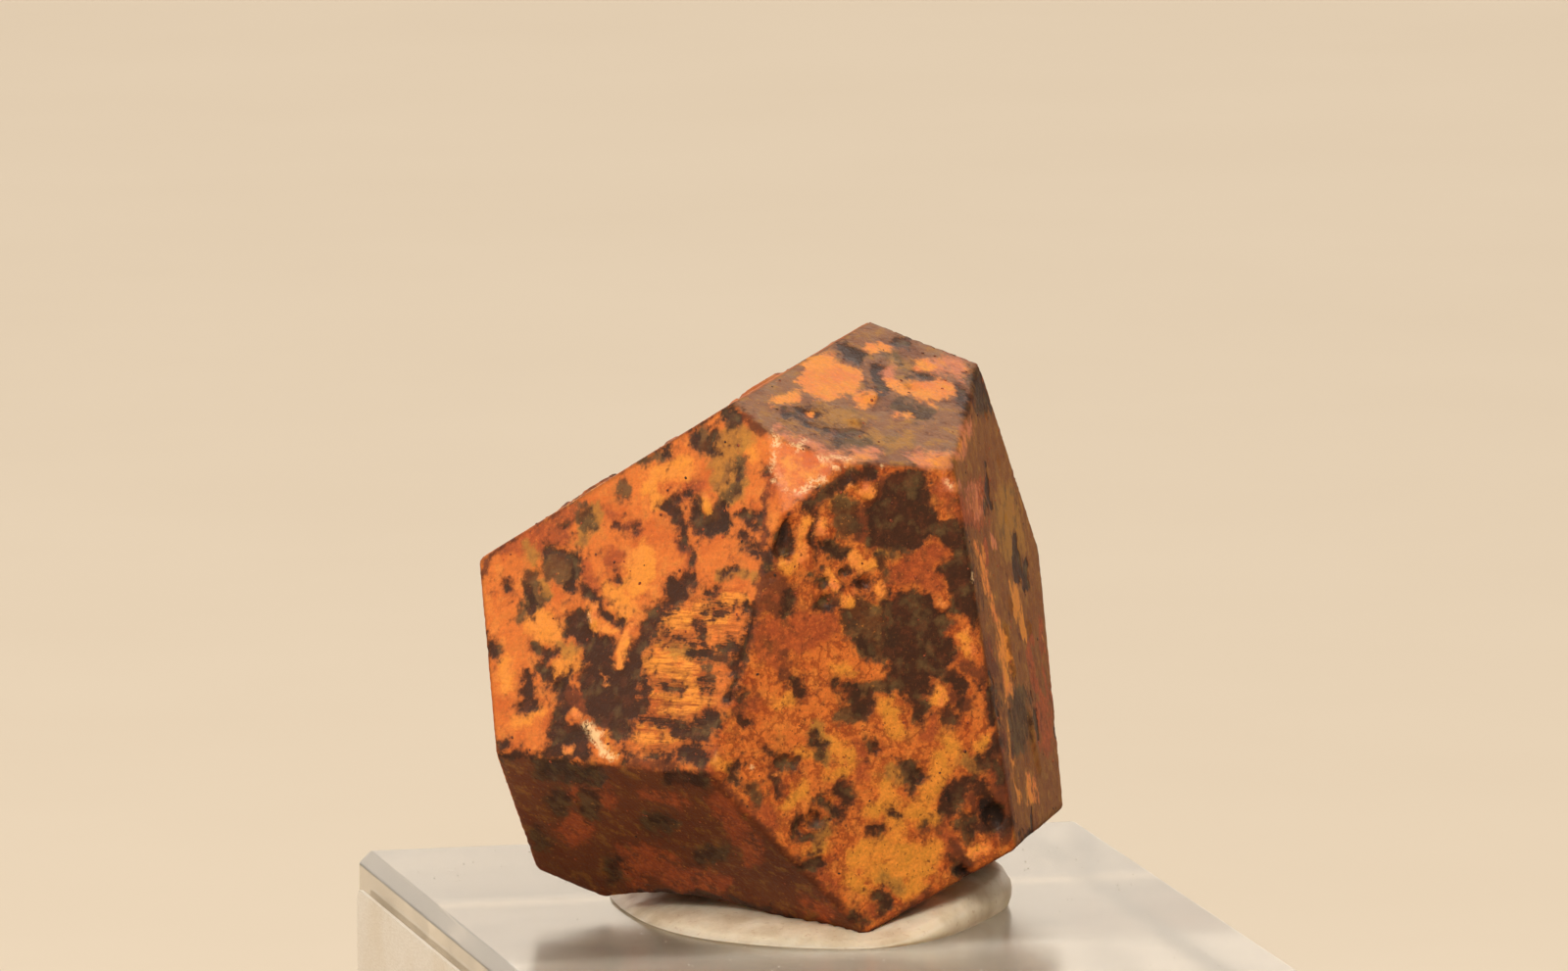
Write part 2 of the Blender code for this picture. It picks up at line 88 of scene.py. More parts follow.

# ---- stains, painted glints and a painted shade on the front, in mm across and up in the view: half-width
# ---- of a stroke and its points; a half-width of 0 marks a closed outline
RED_STAINS = [
    (0, ((7.2, 3.9), (8.0, 4.6), (8.9, 5.4), (10.2, 5.8), (10.9, 5.2), (10.8, 4.4), (10.1, 3.9),
         (10.3, 3.3), (10.8, 2.6), (10.3, 2.1), (9.2, 2.6), (8.0, 2.9), (7.2, 3.0))),
    (0, ((-1.8, 0.4), (0.0, 0.9), (1.4, 1.2), (3.2, 0.9), (3.6, 0.0), (3.0, -0.9), (1.6, -1.6),
         (0.2, -1.8), (-0.4, -3.0), (-1.6, -2.2), (-2.4, -1.0))),
    (0, ((-19.6, 5.0), (-17.0, 6.6), (-14.0, 8.6), (-13.5, 8.0), (-14.0, 6.6), (-14.6, 5.4),
         (-16.6, 4.6))), (0.7, ((10.6, 9.2), (11.2, 8.2), (12.0, 7.4))),
    (0.4, ((6.2, 10.0), (7.2, 9.6))), (0.35, ((5.3, 7.2), (5.1, 6.3))),
    (0.8, ((-1.9, -12.2), (-1.0, -13.0))), (0.5, ((2.2, -16.2), (3.4, -17.4))),
    (0.5, ((5.8, -19.0), (6.6, -18.9))), (0.6, ((-13.2, 3.8), (-12.8, 2.6))), (0.45, ((-11.6, 7.6),)),
    (0.35, ((-10.8, 6.9), (-9.8, 6.5))), (0.7, ((-11.4, 4.6),)), (0.5, ((-6.8, 8.8), (-5.8, 9.6))),
    (0.5, ((-6.8, 5.4), (-6.2, 4.2))), (0.6, ((-14.4, -5.0), (-13.8, -4.4))),
    (0.4, ((-1.0, 10.2), (-0.9, 8.6))), (0.5, ((12.9, 9.5), (12.9, 7.0))),
    (0.5, ((5.0, -8.2), (5.2, -9.8))), (0.5, ((10.1, -6.4), (9.6, -7.2))),
    (0.6, ((10.6, -13.2), (11.1, -14.8))), (0.5, ((14.2, -9.4), (14.4, -11.2))),
    (0.6, ((-5.0, -8.4), (-4.8, -9.8))), (0.5, ((-3.2, -5.4), (-1.8, -5.0))),
    (0.9, ((-14.2, -13.6), (-13.4, -13.3))), (1.0, ((-10.4, -15.4), (-8.4, -15.6))),
    (0.6, ((-9.8, -16.9),)), (0.6, ((1.6, -18.2), (2.8, -18.8))), (0.8, ((-4.2, -11.6), (-2.0, -15.0))),
    (0.5, ((17.0, -5.2), (17.5, -8.0))), (0.7, ((-13.4, -10.9), (-11.8, -11.3))),
    (0.8, ((-7.6, -16.4), (-4.4, -17.0))), (0.3, ((-9.4, -11.0), (-6.6, -11.6))),
]
YELLOW_STAINS = [
    (0.8, ((-9.3, 4.8), (-9.8, 2.6))), (1.0, ((-16.4, 0.7), (-15.8, -0.3))),
    (0.9, ((-14.9, -3.2), (-14.2, -2.2))), (0.6, ((-11.4, 2.4), (-10.6, 1.1))),
    (0.6, ((-8.6, 10.2), (-6.6, 10.7))), (0.5, ((-8.5, 8.3), (-8.9, 9.3))),
    (0.35, ((-4.1, 1.9), (-2.4, 1.7))), (0.3, ((-5.7, 1.3), (-4.8, 1.0))),
    (0.55, ((-7.6, 0.6), (-6.3, 0.3))), (0.4, ((-5.0, 0.6), (-3.8, 0.8))),
    (0.25, ((-8.6, -1.2), (-7.0, -1.1))), (0.55, ((-8.9, -2.4), (-7.5, -3.0))),
    (0.5, ((-6.9, -3.1), (-6.2, -4.2))), (0.35, ((-8.6, -4.7), (-7.0, -4.9))),
    (0.4, ((-5.9, -5.0), (-5.0, -4.9))), (0.25, ((-9.9, -7.2), (-6.8, -7.3))),
    (0.28, ((-8.4, -1.9), (-6.6, -2.0))), (0.25, ((-8.2, -5.6), (-6.0, -5.6))),
    (0.3, ((-6.4, -2.6), (-5.8, -5.2))), (0.25, ((-9.7, -6.5), (-8.2, -6.7))),
    (0.5, ((6.8, -5.2), (7.5, -6.9))), (0.6, ((10.8, -7.4), (11.3, -8.3))),
    (0.45, ((4.3, -9.5), (3.2, -9.7))), (0.4, ((13.3, -7.2), (13.0, -7.9))),
    (0.5, ((5.8, -12.2), (6.6, -11.6))), (0.6, ((8.3, -12.2), (9.8, -12.7))),
    (0.8, ((4.9, -15.3), (6.1, -14.5))), (0.8, ((7.2, -14.9), (9.6, -15.0))),
    (0.9, ((6.4, -16.2), (8.8, -15.9))), (0.6, ((6.8, -10.6), (7.4, -13.4))),
    (0.7, ((10.4, -8.8), (9.6, -11.2))), (0.5, ((3.0, -7.4), (4.2, -8.4))),
    (0.5, ((4.6, -16.6), (5.0, -17.2))), (0.6, ((8.2, -17.4), (9.3, -16.3))),
    (0.14, ((-11.9, -8.0), (-11.5, -8.6))), (0.45, ((-4.6, -8.9), (-3.8, -9.2))),
    (0.4, ((-0.1, -5.0), (0.4, -4.7))), (0.3, ((1.6, -14.7), (2.7, -14.6))),
    (0.4, ((0.2, -11.8), (1.2, -10.8))), (0.35, ((0.9, -8.2), (1.4, -8.5))),
    (0.5, ((-18.4, -3.8), (-18.6, -2.4))), (0.4, ((-16.4, -5.6), (-17.6, -6.2))),
    (0.4, ((3.4, -2.9), (4.4, -3.0))), (0.35, ((-2.4, 12.2), (-2.0, 11.4))),
    (0.22, ((-0.2, 11.0), (0.9, 10.7), (1.3, 10.2))), (0.28, ((-0.3, 9.9), (0.5, 9.4))),
    (0.2, ((1.5, 9.9), (2.3, 9.8))), (0.2, ((4.6, 13.6), (4.8, 13.6))),
    (0.22, ((2.4, 10.6), (3.0, 10.7))), (0.18, ((-11.9, -7.3), (-11.3, -8.4))),
]
MUSTARD_STAINS = [
    (0.8, ((-3.9, 12.4), (-2.7, 12.6))), (1.1, ((-4.0, 11.2), (-3.9, 9.8))),
    (0.6, ((-3.0, 9.6), (-3.4, 8.6))), (0.5, ((-16.0, 2.8), (-15.7, 2.4))),
    (0.5, ((-17.0, 5.2), (-16.7, 4.6))), (0.4, ((-4.4, 3.5), (-1.8, 3.5))),
    (0.4, ((6.0, 1.2), (6.6, 1.6))), (0.5, ((3.4, 8.5), (4.0, 8.3))), (0.6, ((2.2, -6.8), (2.6, -8.4))),
    (0.4, ((7.2, -9.6), (7.8, -10.2))), (0.5, ((12.1, -8.9), (12.9, -9.4))),
    (0.6, ((2.8, -13.2), (2.2, -14.2))), (0.5, ((6.6, -16.6), (7.6, -17.3))),
    (0.4, ((-14.8, -1.2), (-14.1, -1.5))), (0.7, ((2.4, 14.1), (4.6, 13.9))),
    (0.5, ((5.2, 12.8), (6.3, 12.6))), (0.5, ((6.9, 12.2), (8.2, 12.4))),
    (0.3, ((0.2, 13.7), (2.6, 13.2))), (0.5, ((7.2, 17.6), (8.4, 17.2))),
    (0.5, ((6.3, 4.9), (7.2, 4.9))), (0.8, ((14.8, 8.6), (15.2, 5.0))),
    (0.6, ((-13.4, 6.0), (-12.6, 7.6))), (0.4, ((-6.4, -1.6), (-7.4, -1.4))),
]
OLIVE_STAINS = [
    (0, ((-15.9, 4.6), (-15.6, 5.2), (-14.9, 5.1), (-13.7, 5.2), (-13.8, 4.2), (-13.7, 3.0),
         (-14.1, 2.5), (-14.9, 2.9), (-15.6, 3.0), (-15.9, 3.5), (-16.1, 4.0))),
    (0, ((-17.1, 3.8), (-16.4, 3.9), (-16.3, 3.2), (-16.1, 2.3), (-15.4, 2.2), (-15.4, 1.6),
         (-16.0, 1.3), (-16.6, 1.3), (-17.0, 0.5), (-17.4, -0.3), (-17.7, 0.0), (-17.5, 1.2),
         (-17.4, 2.2), (-17.2, 3.0))),
    (0, ((-6.1, 12.8), (-5.8, 13.4), (-5.2, 13.5), (-4.9, 13.1), (-4.4, 13.0), (-4.4, 12.3),
         (-4.7, 11.5), (-5.1, 11.6), (-5.6, 11.4), (-6.2, 12.0))),
    (0, ((-5.9, 8.6), (-5.6, 8.2), (-5.9, 7.4), (-5.7, 6.8), (-5.3, 6.3), (-4.7, 5.9), (-4.2, 6.2),
         (-3.6, 6.6), (-3.5, 7.4), (-3.8, 8.2), (-4.3, 9.1), (-4.7, 8.6), (-4.9, 7.7), (-5.2, 7.5),
         (-5.5, 7.9), (-5.4, 8.5))),
    (0, ((3.7, 1.2), (4.7, 2.0), (5.6, 2.0), (6.4, 1.1), (7.3, 0.4), (7.6, -0.8), (7.2, -2.4),
         (6.0, -2.2), (5.2, -1.9), (4.9, -1.0), (3.9, -0.6), (3.6, 0.3))),
    (0.55, ((-13.3, 7.3), (-13.1, 6.7))), (0.22, ((-13.5, 7.7), (-13.7, 8.3))),
    (0.45, ((-10.6, 9.3), (-10.6, 8.7))), (0.4, ((-3.6, 14.3), (-3.4, 13.4))),
    (0.5, ((-3.0, 10.9), (-3.0, 10.2))), (0.35, ((-3.2, 9.2), (-3.7, 8.8))),
    (0.25, ((-6.1, 4.8), (-6.1, 4.2))), (0.4, ((-5.3, -2.1), (-3.9, -2.1))),
    (0.25, ((-6.2, -1.6), (-5.6, -1.7))), (0.3, ((-5.1, -3.0), (-5.2, -4.1))),
    (0.35, ((-8.3, -0.2), (-8.0, -0.3))), (0.8, ((3.9, 8.0), (4.3, 6.6))),
    (0.5, ((3.2, 5.4), (4.0, 4.9))), (0.5, ((8.8, 9.0), (9.0, 7.9))), (0.42, ((6.4, 4.6), (6.7, 3.5))),
    (0.55, ((4.8, -4.3), (6.8, -4.0))), (0.5, ((3.7, -5.9), (5.2, -5.6))),
    (0.4, ((2.3, -7.6), (2.4, -8.6))), (0.5, ((8.1, -9.3), (8.6, -10.4))),
    (0.42, ((2.3, -11.4), (3.3, -12.5))), (0.45, ((-2.3, -10.8), (-1.8, -11.5))),
    (0.38, ((6.0, -17.7), (6.8, -18.3), (6.4, -18.9))), (0.4, ((-3.3, -9.6), (-3.4, -10.2))),
    (0.5, ((12.0, -12.9), (12.2, -14.2))), (0.3, ((-7.7, 11.4), (-8.4, 11.3))),
    (0.3, ((-9.0, 11.3), (-9.6, 11.2))), (0.8, ((-15.8, -9.4), (-12.8, -9.9))),
    (0.7, ((-15.1, -11.4), (-14.8, -12.0))), (0.6, ((-11.4, -15.8), (-11.3, -16.4))),
    (0.7, ((-9.0, -12.8), (-7.8, -13.1))), (0.5, ((-16.4, -13.8), (-15.8, -14.4))),
    (0.6, ((-5.4, -15.2), (-4.2, -15.0))), (0.6, ((-13.0, -11.2), (-12.8, -12.4))),
    (0.5, ((12.7, 16.4), (13.2, 14.6))), (0.6, ((15.6, -4.5), (15.6, -8.0))),
    (0.5, ((7.6, 14.6), (9.4, 14.2))), (0.4, ((-14.6, -7.4), (-13.4, -7.4))),
    (0.25, ((10.0, 16.5), (8.5, 17.0))), (0.3, ((4.4, 18.3), (5.2, 18.1))),
    (0.35, ((3.6, 12.4), (5.8, 12.2))), (0.3, ((6.8, 18.1), (7.6, 17.7))),
]
DARK_STAINS_AND_SHADE = [
    # left face: the large patch with the band that rises from it, and the one by the lower edge
    (0, ((-13.3, -1.6), (-13.9, -0.8), (-14.6, -0.4), (-14.4, 0.5), (-13.7, 1.2), (-12.9, 1.0),
         (-12.7, 0.4),
         (-12.3, -0.4), (-11.4, -0.5), (-11.0, -0.9), (-11.4, -2.0), (-11.3, -2.6), (-10.9, -2.8),
         (-10.4, -2.0),
         (-10.1, -1.2), (-9.8, -0.5), (-9.5, 0.4), (-9.3, 0.9), (-8.7, 1.2), (-8.3, 1.8), (-7.6, 2.2),
         (-7.7, 2.9),
         (-6.9, 3.3), (-6.2, 3.5), (-5.6, 3.1), (-6.2, 2.5), (-6.5, 2.0), (-7.0, 1.6), (-7.7, 1.2),
         (-8.2, 0.4),
         (-8.6, -0.5), (-9.1, -1.5), (-9.4, -2.8), (-9.7, -4.5), (-9.7, -5.8), (-10.3, -6.2), (-10.3, -7.2),
         (-11.0, -7.5), (-12.0, -7.0), (-12.8, -6.4), (-13.3, -5.6), (-13.4, -4.2), (-13.5, -3.2),
         (-13.1, -2.4))),
    (0, ((-15.3, -5.4), (-14.8, -4.6), (-14.3, -5.0), (-14.7, -6.2), (-14.1, -6.6), (-13.3, -6.3),
         (-13.0, -7.4),
         (-12.7, -8.6), (-16.4, -8.7), (-15.8, -7.9), (-15.4, -6.8))),
    # left face: small stains
    (0.28, ((-14.6, 6.6),)), (0.25, ((-10.8, 6.7),)), (0.24, ((-10.0, 6.5),)),
    (0.25, ((-18.4, 3.1), (-18.2, 2.5))),
    (0.3, ((-11.1, 3.2),)), (0.3, ((-15.5, 4.9), (-14.6, 5.0))),
    (0.3, ((-13.9, 4.6), (-13.8, 3.6), (-14.1, 2.6))),
    (0.32, ((-16.9, 2.2), (-16.9, 1.2))), (0.28, ((-13.3, 2.4), (-12.5, 2.1), (-12.0, 1.2), (-10.9, 0.4))),
    (0.4, ((-19.4, -1.1), (-19.4, -1.7))), (0.28, ((-16.6, -1.4), (-15.4, -1.8))),
    (0.3, ((-15.9, -1.9), (-15.9, -2.9))),
    (0.25, ((-15.7, -3.0), (-15.4, -3.9))), (0.42, ((-17.0, -3.5), (-16.9, -5.0))),
    (0.25, ((-17.3, -5.4),)),
    (0.16, ((-18.9, -7.7), (-18.3, -7.7))), (0.3, ((-19.0, -8.4), (-16.6, -8.7))),
    (0.25, ((-14.1, -2.9), (-14.9, -4.6))),
    (0.3, ((-5.9, 12.8), (-5.8, 12.0))), (0.28, ((-4.6, 13.1), (-4.7, 11.6))),
    (0.55, ((-5.2, 6.6), (-4.3, 6.8))),
    (0.4, ((-4.0, 7.2), (-4.0, 8.0))), (0.3, ((-5.7, 8.1), (-5.7, 7.3))), (0.5, ((-7.8, 8.2), (-7.3, 7.7))),
    (0.32, ((-7.1, 7.3), (-6.6, 6.4), (-6.7, 5.5))), (0.3, ((-2.6, 7.3), (-1.6, 7.5))),
    (0.3, ((-2.2, 6.9), (-1.9, 6.7))),
    (0.25, ((-6.5, 8.8), (-7.3, 8.6))), (0.3, ((-5.2, 2.1), (-4.8, 2.3))), (0.2, ((-6.1, 4.5),)),
    (0.25, ((-3.9, 3.6), (-3.4, 3.8))), (0.35, ((-3.7, 14.2), (-3.3, 13.9))),
    (0.2, ((-3.0, 6.2), (-2.6, 5.2), (-1.6, 5.2))),
    (0.25, ((-8.0, 11.6), (-7.7, 11.3))), (0.2, ((-1.2, 10.2), (-1.0, 10.0))),
    (0.2, ((-3.1, 10.5), (-3.2, 10.0))),
    # left face: striated part
    (0.22, ((-5.5, 0.1), (-5.6, -0.9))), (0.35, ((-3.9, -1.4), (-2.6, -1.2))),
    (0.2, ((-6.2, -1.6), (-4.9, -2.0))),
    (0.2, ((-5.4, -3.6), (-5.0, -4.3))), (0.65, ((-5.3, -6.4), (-4.7, -6.2))),
    (0.4, ((-6.9, -6.6), (-5.4, -7.3))),
    (0.6, ((-6.6, -8.2), (-5.6, -8.6))), (0.3, ((-8.9, -8.3), (-8.0, -8.5))),
    (0.2, ((-9.2, -3.2), (-9.4, -5.6))),
    (0.2, ((-7.9, -3.9), (-7.0, -4.1))), (0.25, ((-10.6, -8.4), (-10.8, -9.3))),
    (0.14, ((-8.0, -6.4), (-6.8, -6.6))),
    (0.14, ((-9.6, -6.1), (-7.4, -6.3))), (0.12, ((-8.4, -0.8), (-6.6, -0.8))),
    (0.12, ((-5.2, 1.0), (-3.2, 1.2))),
    # edge between the left and right faces
    (0, ((0.1, 7.1), (-0.2, 6.5), (-0.8, 6.1), (-1.1, 5.3), (-1.0, 4.8), (-0.3, 4.5), (0.5, 4.9),
         (0.7, 5.6), (0.5, 6.3))),
    (0.3, ((-2.2, 1.2), (-2.2, 0.0), (-2.6, -1.0), (-3.0, -2.2), (-3.3, -3.4), (-3.7, -4.6))),
    (0.3, ((-1.2, 4.9), (-1.0, 3.8))), (0.35, ((0.6, 2.4), (0.2, 1.2))),
    (0.2, ((-3.6, -4.7), (-2.6, -4.4))),
    # right face: upper part
    (0.42, ((1.6, 8.0), (2.6, 8.8), (3.8, 9.5), (4.5, 10.1), (5.7, 10.2))),
    (0.16, ((2.2, 8.2), (2.0, 6.4), (2.2, 4.2))),
    (0, ((5.4, 7.6), (6.4, 8.6), (6.9, 9.6), (7.3, 10.3), (9.2, 10.4), (9.5, 9.2), (9.9, 8.0), (10.4, 7.0),
         (12.0, 6.9),
         (12.2, 5.4), (12.7, 3.4), (13.0, 1.2), (13.0, -0.2), (12.5, 0.4), (11.6, 0.8), (10.9, 1.0),
         (11.0, 2.2),
         (10.8, 3.2), (10.3, 3.6), (10.4, 4.0), (11.1, 4.3), (11.3, 5.0), (10.9, 5.4), (10.2, 5.9),
         (9.3, 5.8),
         (8.7, 5.3), (8.0, 4.9), (6.9, 4.9), (6.5, 5.2), (5.7, 5.1), (5.3, 5.6), (5.6, 6.4))),
    (0.3, ((3.0, 5.2), (3.9, 4.7))), (0.3, ((2.3, 1.5), (3.2, 1.6))), (0.25, ((2.4, 3.0), (2.8, 2.8))),
    (0.2, ((2.5, 3.9),)), (0.2, ((3.9, 3.6), (4.4, 3.8))), (0.28, ((4.8, 3.0), (5.5, 2.9))),
    (0.25, ((6.9, 2.2),)),
    (0.18, ((3.6, 2.2), (4.0, 2.8))), (0.2, ((5.6, 3.7), (5.2, 4.0))), (0.16, ((1.9, 3.4), (2.2, 3.0))),
    # right face: the large patch
    (0, ((6.2, 1.6), (7.4, 2.1), (8.4, 2.4), (9.8, 2.2), (10.4, 1.0), (11.2, 0.4), (10.6, -0.3),
         (11.3, -1.2),
         (11.6, -2.0), (10.7, -2.9), (9.8, -3.4), (9.6, -4.6), (8.5, -4.7), (7.7, -4.4), (6.9, -4.3),
         (7.0, -2.8),
         (6.6, -1.6), (6.9, 0.2))),
    (0.35, ((4.0, 1.0), (4.4, 0.2))), (0.45, ((4.4, -4.6), (5.3, -5.4))), (0.3, ((3.7, -3.9), (4.5, -4.2))),
    (0.3, ((5.2, -0.8), (5.8, -1.6))), (0.4, ((11.0, -3.4), (12.0, -3.9))),
    (0.3, ((11.9, -4.4), (11.8, -5.0))),
    (0.45, ((10.8, -5.6), (11.2, -6.0))), (0.3, ((13.1, -3.9), (13.9, -4.1))),
    (0.3, ((13.6, -4.6), (13.8, -6.0))),
    (0.35, ((9.2, -5.3), (8.9, -6.1))), (0.25, ((6.0, -4.4), (5.7, -5.0))),
    # right face: lower part
    (0.35, ((5.8, -7.8), (5.9, -8.2))), (0.4, ((0.7, -3.8), (1.3, -4.2))),
    (0.28, ((-3.0, -6.1), (-2.6, -6.4))),
    (0.32, ((-3.2, -9.1), (-3.4, -10.2))), (0.38, ((-0.6, -8.9), (0.7, -9.0))),
    (0.25, ((-0.5, -10.0), (-0.3, -11.0))),
    (0.35, ((8.3, -9.2), (8.6, -9.6))), (0.32, ((8.7, -9.8), (8.6, -10.5))),
    (0.7, ((11.0, -11.5), (11.4, -10.8))),
    (0.35, ((11.8, -10.4), (12.8, -10.1))), (0.75, ((13.7, -12.0), (13.9, -12.7))),
    (0.35, ((13.8, -8.3), (14.2, -7.6))),
    (0.45, ((11.8, -16.0), (12.0, -16.4))), (0.35, ((8.4, -19.1), (9.2, -19.3))),
    (0.5, ((3.8, -10.6), (4.3, -11.3))),
    (0.28, ((1.9, -12.7), (2.1, -12.9))), (0.32, ((1.0, -12.8), (0.9, -13.4))),
    (0.28, ((1.6, -13.8), (1.8, -13.9))),
    (0.24, ((0.8, -13.9),)), (0.28, ((7.1, -12.1), (7.3, -12.4))), (0.22, ((9.4, -13.2),)),
    (0.3, ((3.3, -12.2), (3.8, -12.6))),
    (0.25, ((2.1, -7.5), (2.4, -7.7))), (0.2, ((-1.4, -7.9), (-0.9, -8.3))),
    (0.3, ((5.7, -13.5), (6.1, -13.5))),
    (0.35, ((6.2, -17.9), (6.9, -18.5))), (0.35, ((10.6, -12.2), (11.2, -12.2))),
    (0.4, ((12.6, -12.8), (13.2, -13.2))),
    (0.35, ((13.0, -8.8), (13.4, -9.1))), (0.3, ((14.1, -9.2), (14.3, -10.4))),
    (0.3, ((11.8, -13.5), (12.3, -13.6))),
    (0.3, ((13.0, -10.6), (13.6, -10.9))), (0.35, ((9.0, -5.0), (9.3, -5.3))),
    (0.4, ((14.9, -13.0), (14.6, -13.6))), (0.35, ((2.4, -15.4), (1.2, -16.0))),
    (0.3, ((4.6, -19.0), (5.4, -19.6))),
    (0.22, ((2.4, -11.2), (2.6, -11.8))), (0.2, ((11.2, -15.2), (11.6, -15.3))),
    # top, side and lower left faces
    (0.3, ((7.5, 19.0), (8.3, 18.8))), (0.5, ((6.3, 17.0), (6.5, 15.8))), (0.3, ((1.0, 14.3), (2.2, 14.1))),
    (0.14, ((0.0, 14.1), (2.5, 13.1), (4.0, 12.8), (5.2, 13.1))), (0.5, ((12.9, 16.8), (13.3, 15.0))),
    (0.4, ((4.0, 18.4), (4.8, 17.9))), (0.16, ((9.7, 16.6), (8.6, 17.0))),
    (0.4, ((11.6, 15.6), (11.9, 14.6))),
    (0.6, ((-15.4, -9.4), (-12.3, -9.9))), (0.4, ((-8.4, -13.0), (-7.8, -12.9))),
    (0.5, ((-7.6, -9.9), (-5.4, -10.3))),
    # the last stroke is painted shade: a dark band along the lower left face's bottom edge, above the putty
    (0.3, ((-9.8, -17.9), (-7.3, -17.8), (-4.8, -18.1), (-2.2, -18.7), (0.4, -19.5), (2.1, -20.3))),
]
MAROON_STAINS = [
    (0, ((-1.5, 4.3), (-1.0, 4.6), (-0.4, 4.2), (0.1, 3.2), (0.5, 2.6), (1.0, 2.2), (1.0, 1.4),
         (0.4, 1.0), (-0.6, 0.8), (-1.4, 0.9), (-2.1, 0.6), (-2.4, 1.0), (-2.0, 1.6), (-1.7, 2.4))),
    (0, ((5.9, 9.4), (7.0, 9.9), (7.3, 8.8), (6.6, 8.2), (6.2, 6.8), (5.0, 5.4), (4.2, 6.0),
         (4.6, 7.6), (5.2, 8.2))),
    (0.2, ((-20.0, 3.4), (-19.6, 4.6), (-18.6, 5.6), (-17.0, 6.8), (-15.0, 8.1), (-13.0, 9.2),
         (-11.0, 10.5))),
    (0.2, ((-11.0, 10.5), (-9.0, 11.8), (-7.0, 12.9), (-5.0, 14.1), (-3.8, 14.9))),
    (0.35, ((-2.8, 14.0), (-1.6, 13.1))),
    (0.3, ((-5.6, -9.6), (-3.2, -11.6), (-1.6, -13.3), (0.4, -15.2), (2.6, -17.6), (4.6, -19.3))),
    (0.6, ((14.3, -7.4), (14.3, -10.0), (14.6, -12.0), (14.6, -14.0))),
    (0.4, ((12.4, -11.2), (12.6, -12.2))), (0.5, ((-0.6, -9.8), (-0.2, -10.8))),
    (0.4, ((11.0, -14.6), (12.4, -15.6))), (0.4, ((9.6, -17.6), (8.2, -18.8))),
    (0.3, ((-1.6, 5.4), (-1.2, 8.4))), (0.5, ((12.2, -2.6), (13.2, -3.2))),
    (0.5, ((11.2, -4.6), (12.2, -5.0))), (0.6, ((-13.6, -5.2), (-14.6, -4.0))),
    (0.4, ((13.5, -1.0), (13.8, -3.0))), (0.4, ((-0.2, -3.2), (0.2, -1.8))),
    (0.4, ((-10.2, -9.0), (-7.6, -9.2))),
]
ORANGE_SPOTS = [
    (0, ((1.0, 16.2), (1.2, 17.5), (1.8, 18.0), (3.0, 18.0), (3.8, 17.4), (5.0, 17.3), (5.2, 16.3),
         (4.6, 15.3), (3.4, 15.2), (2.2, 15.2), (1.5, 15.6))),
    (0, ((9.2, 16.5), (10.4, 16.5), (11.2, 16.1), (11.2, 15.3), (10.4, 14.9), (9.4, 15.0),
         (8.6, 15.3), (8.4, 15.9))), (0.28, ((7.2, 16.3), (8.0, 16.0))),
    (0.22, ((7.6, 15.6), (8.2, 15.5))), (0.24, ((8.6, 17.3), (9.6, 17.5))),
    (0.25, ((-12.6, 1.4), (-12.4, 1.1))), (0.28, ((-12.7, 0.4), (-12.6, 0.1))),
    (0.24, ((-12.0, 0.0), (-11.2, -0.1))), (0.2, ((-10.0, 0.3), (-10.5, -1.0), (-11.1, -2.5))),
    (0.28, ((-14.3, -8.1), (-14.0, -8.1))), (0.3, ((-13.9, -5.7),)), (0.22, ((-5.2, 8.7), (-5.1, 7.8))),
    (0.5, ((5.5, 8.8), (5.7, 8.9))), (0.18, ((4.5, 9.3),)), (0.32, ((2.7, 7.2), (2.8, 6.2))),
    (0.28, ((1.6, 7.2), (1.2, 6.5))), (0.4, ((-0.1, 4.3), (0.6, 4.2), (1.3, 5.3))),
    (0.5, ((4.7, 4.5), (5.6, 4.0))), (0.3, ((3.1, 3.4), (3.4, 2.5))), (0.35, ((4.1, 1.8), (4.3, 1.6))),
    (0.35, ((6.2, 2.8), (6.5, 2.2))), (0.28, ((10.5, 1.5),)), (0.35, ((-0.4, 15.0), (0.9, 15.2))),
    (0.4, ((5.2, 15.1), (6.0, 15.4))), (0.32, ((5.7, 18.6), (7.0, 18.4))), (0.2, ((1.8, 14.2),)),
    (0.25, ((7.5, 13.9), (8.0, 14.0))), (0.2, ((9.4, 11.1), (10.2, 11.2))),
    (0.16, ((12.9, 5.4), (13.5, 2.6), (14.1, 0.2))), (0.22, ((14.3, -0.4), (14.7, -2.4), (15.0, -4.4))),
    (0.2, ((16.2, -9.8), (16.5, -11.4))), (0.35, ((11.9, -0.6), (12.4, -1.6))),
    (0.3, ((12.6, -14.9), (13.4, -14.6))), (0.2, ((-0.4, -9.7),)), (0.4, ((10.2, -4.0), (10.2, -4.9))),
    (0.16, ((-12.0, -3.3), (-11.9, -3.8))),
]
# pinkish spots: the top face's own pink, and painted glints on the corner facet and by the right face's top
# edge
PINK_SPOTS_AND_GLINTS = [
    (0, ((9.0, 17.6), (9.9, 17.9), (11.2, 17.8), (12.3, 17.4), (12.5, 16.9), (11.6, 16.4),
         (10.9, 16.9), (9.8, 17.1))),
    (0, ((8.2, 11.4), (9.0, 11.8), (10.2, 11.7), (11.2, 11.4), (11.2, 10.7), (10.0, 10.5),
         (8.9, 10.7))), (0.35, ((4.7, 11.6), (5.9, 11.5))), (0.3, ((6.9, 16.9), (7.3, 16.2))),
    (0.5, ((2.8, 11.4), (4.3, 11.0))), (0.3, ((-0.4, 13.0), (1.0, 12.4), (2.4, 11.8))),
    (0.25, ((-0.5, 10.4), (-0.2, 9.4))), (0.3, ((10.6, 9.6), (11.4, 9.2))),
    (0.3, ((11.6, 11.4), (12.2, 13.4))), (0.2, ((0.6, 8.8), (1.4, 8.8))),
    (0.25, ((12.6, 9.4), (12.9, 7.4))),
]
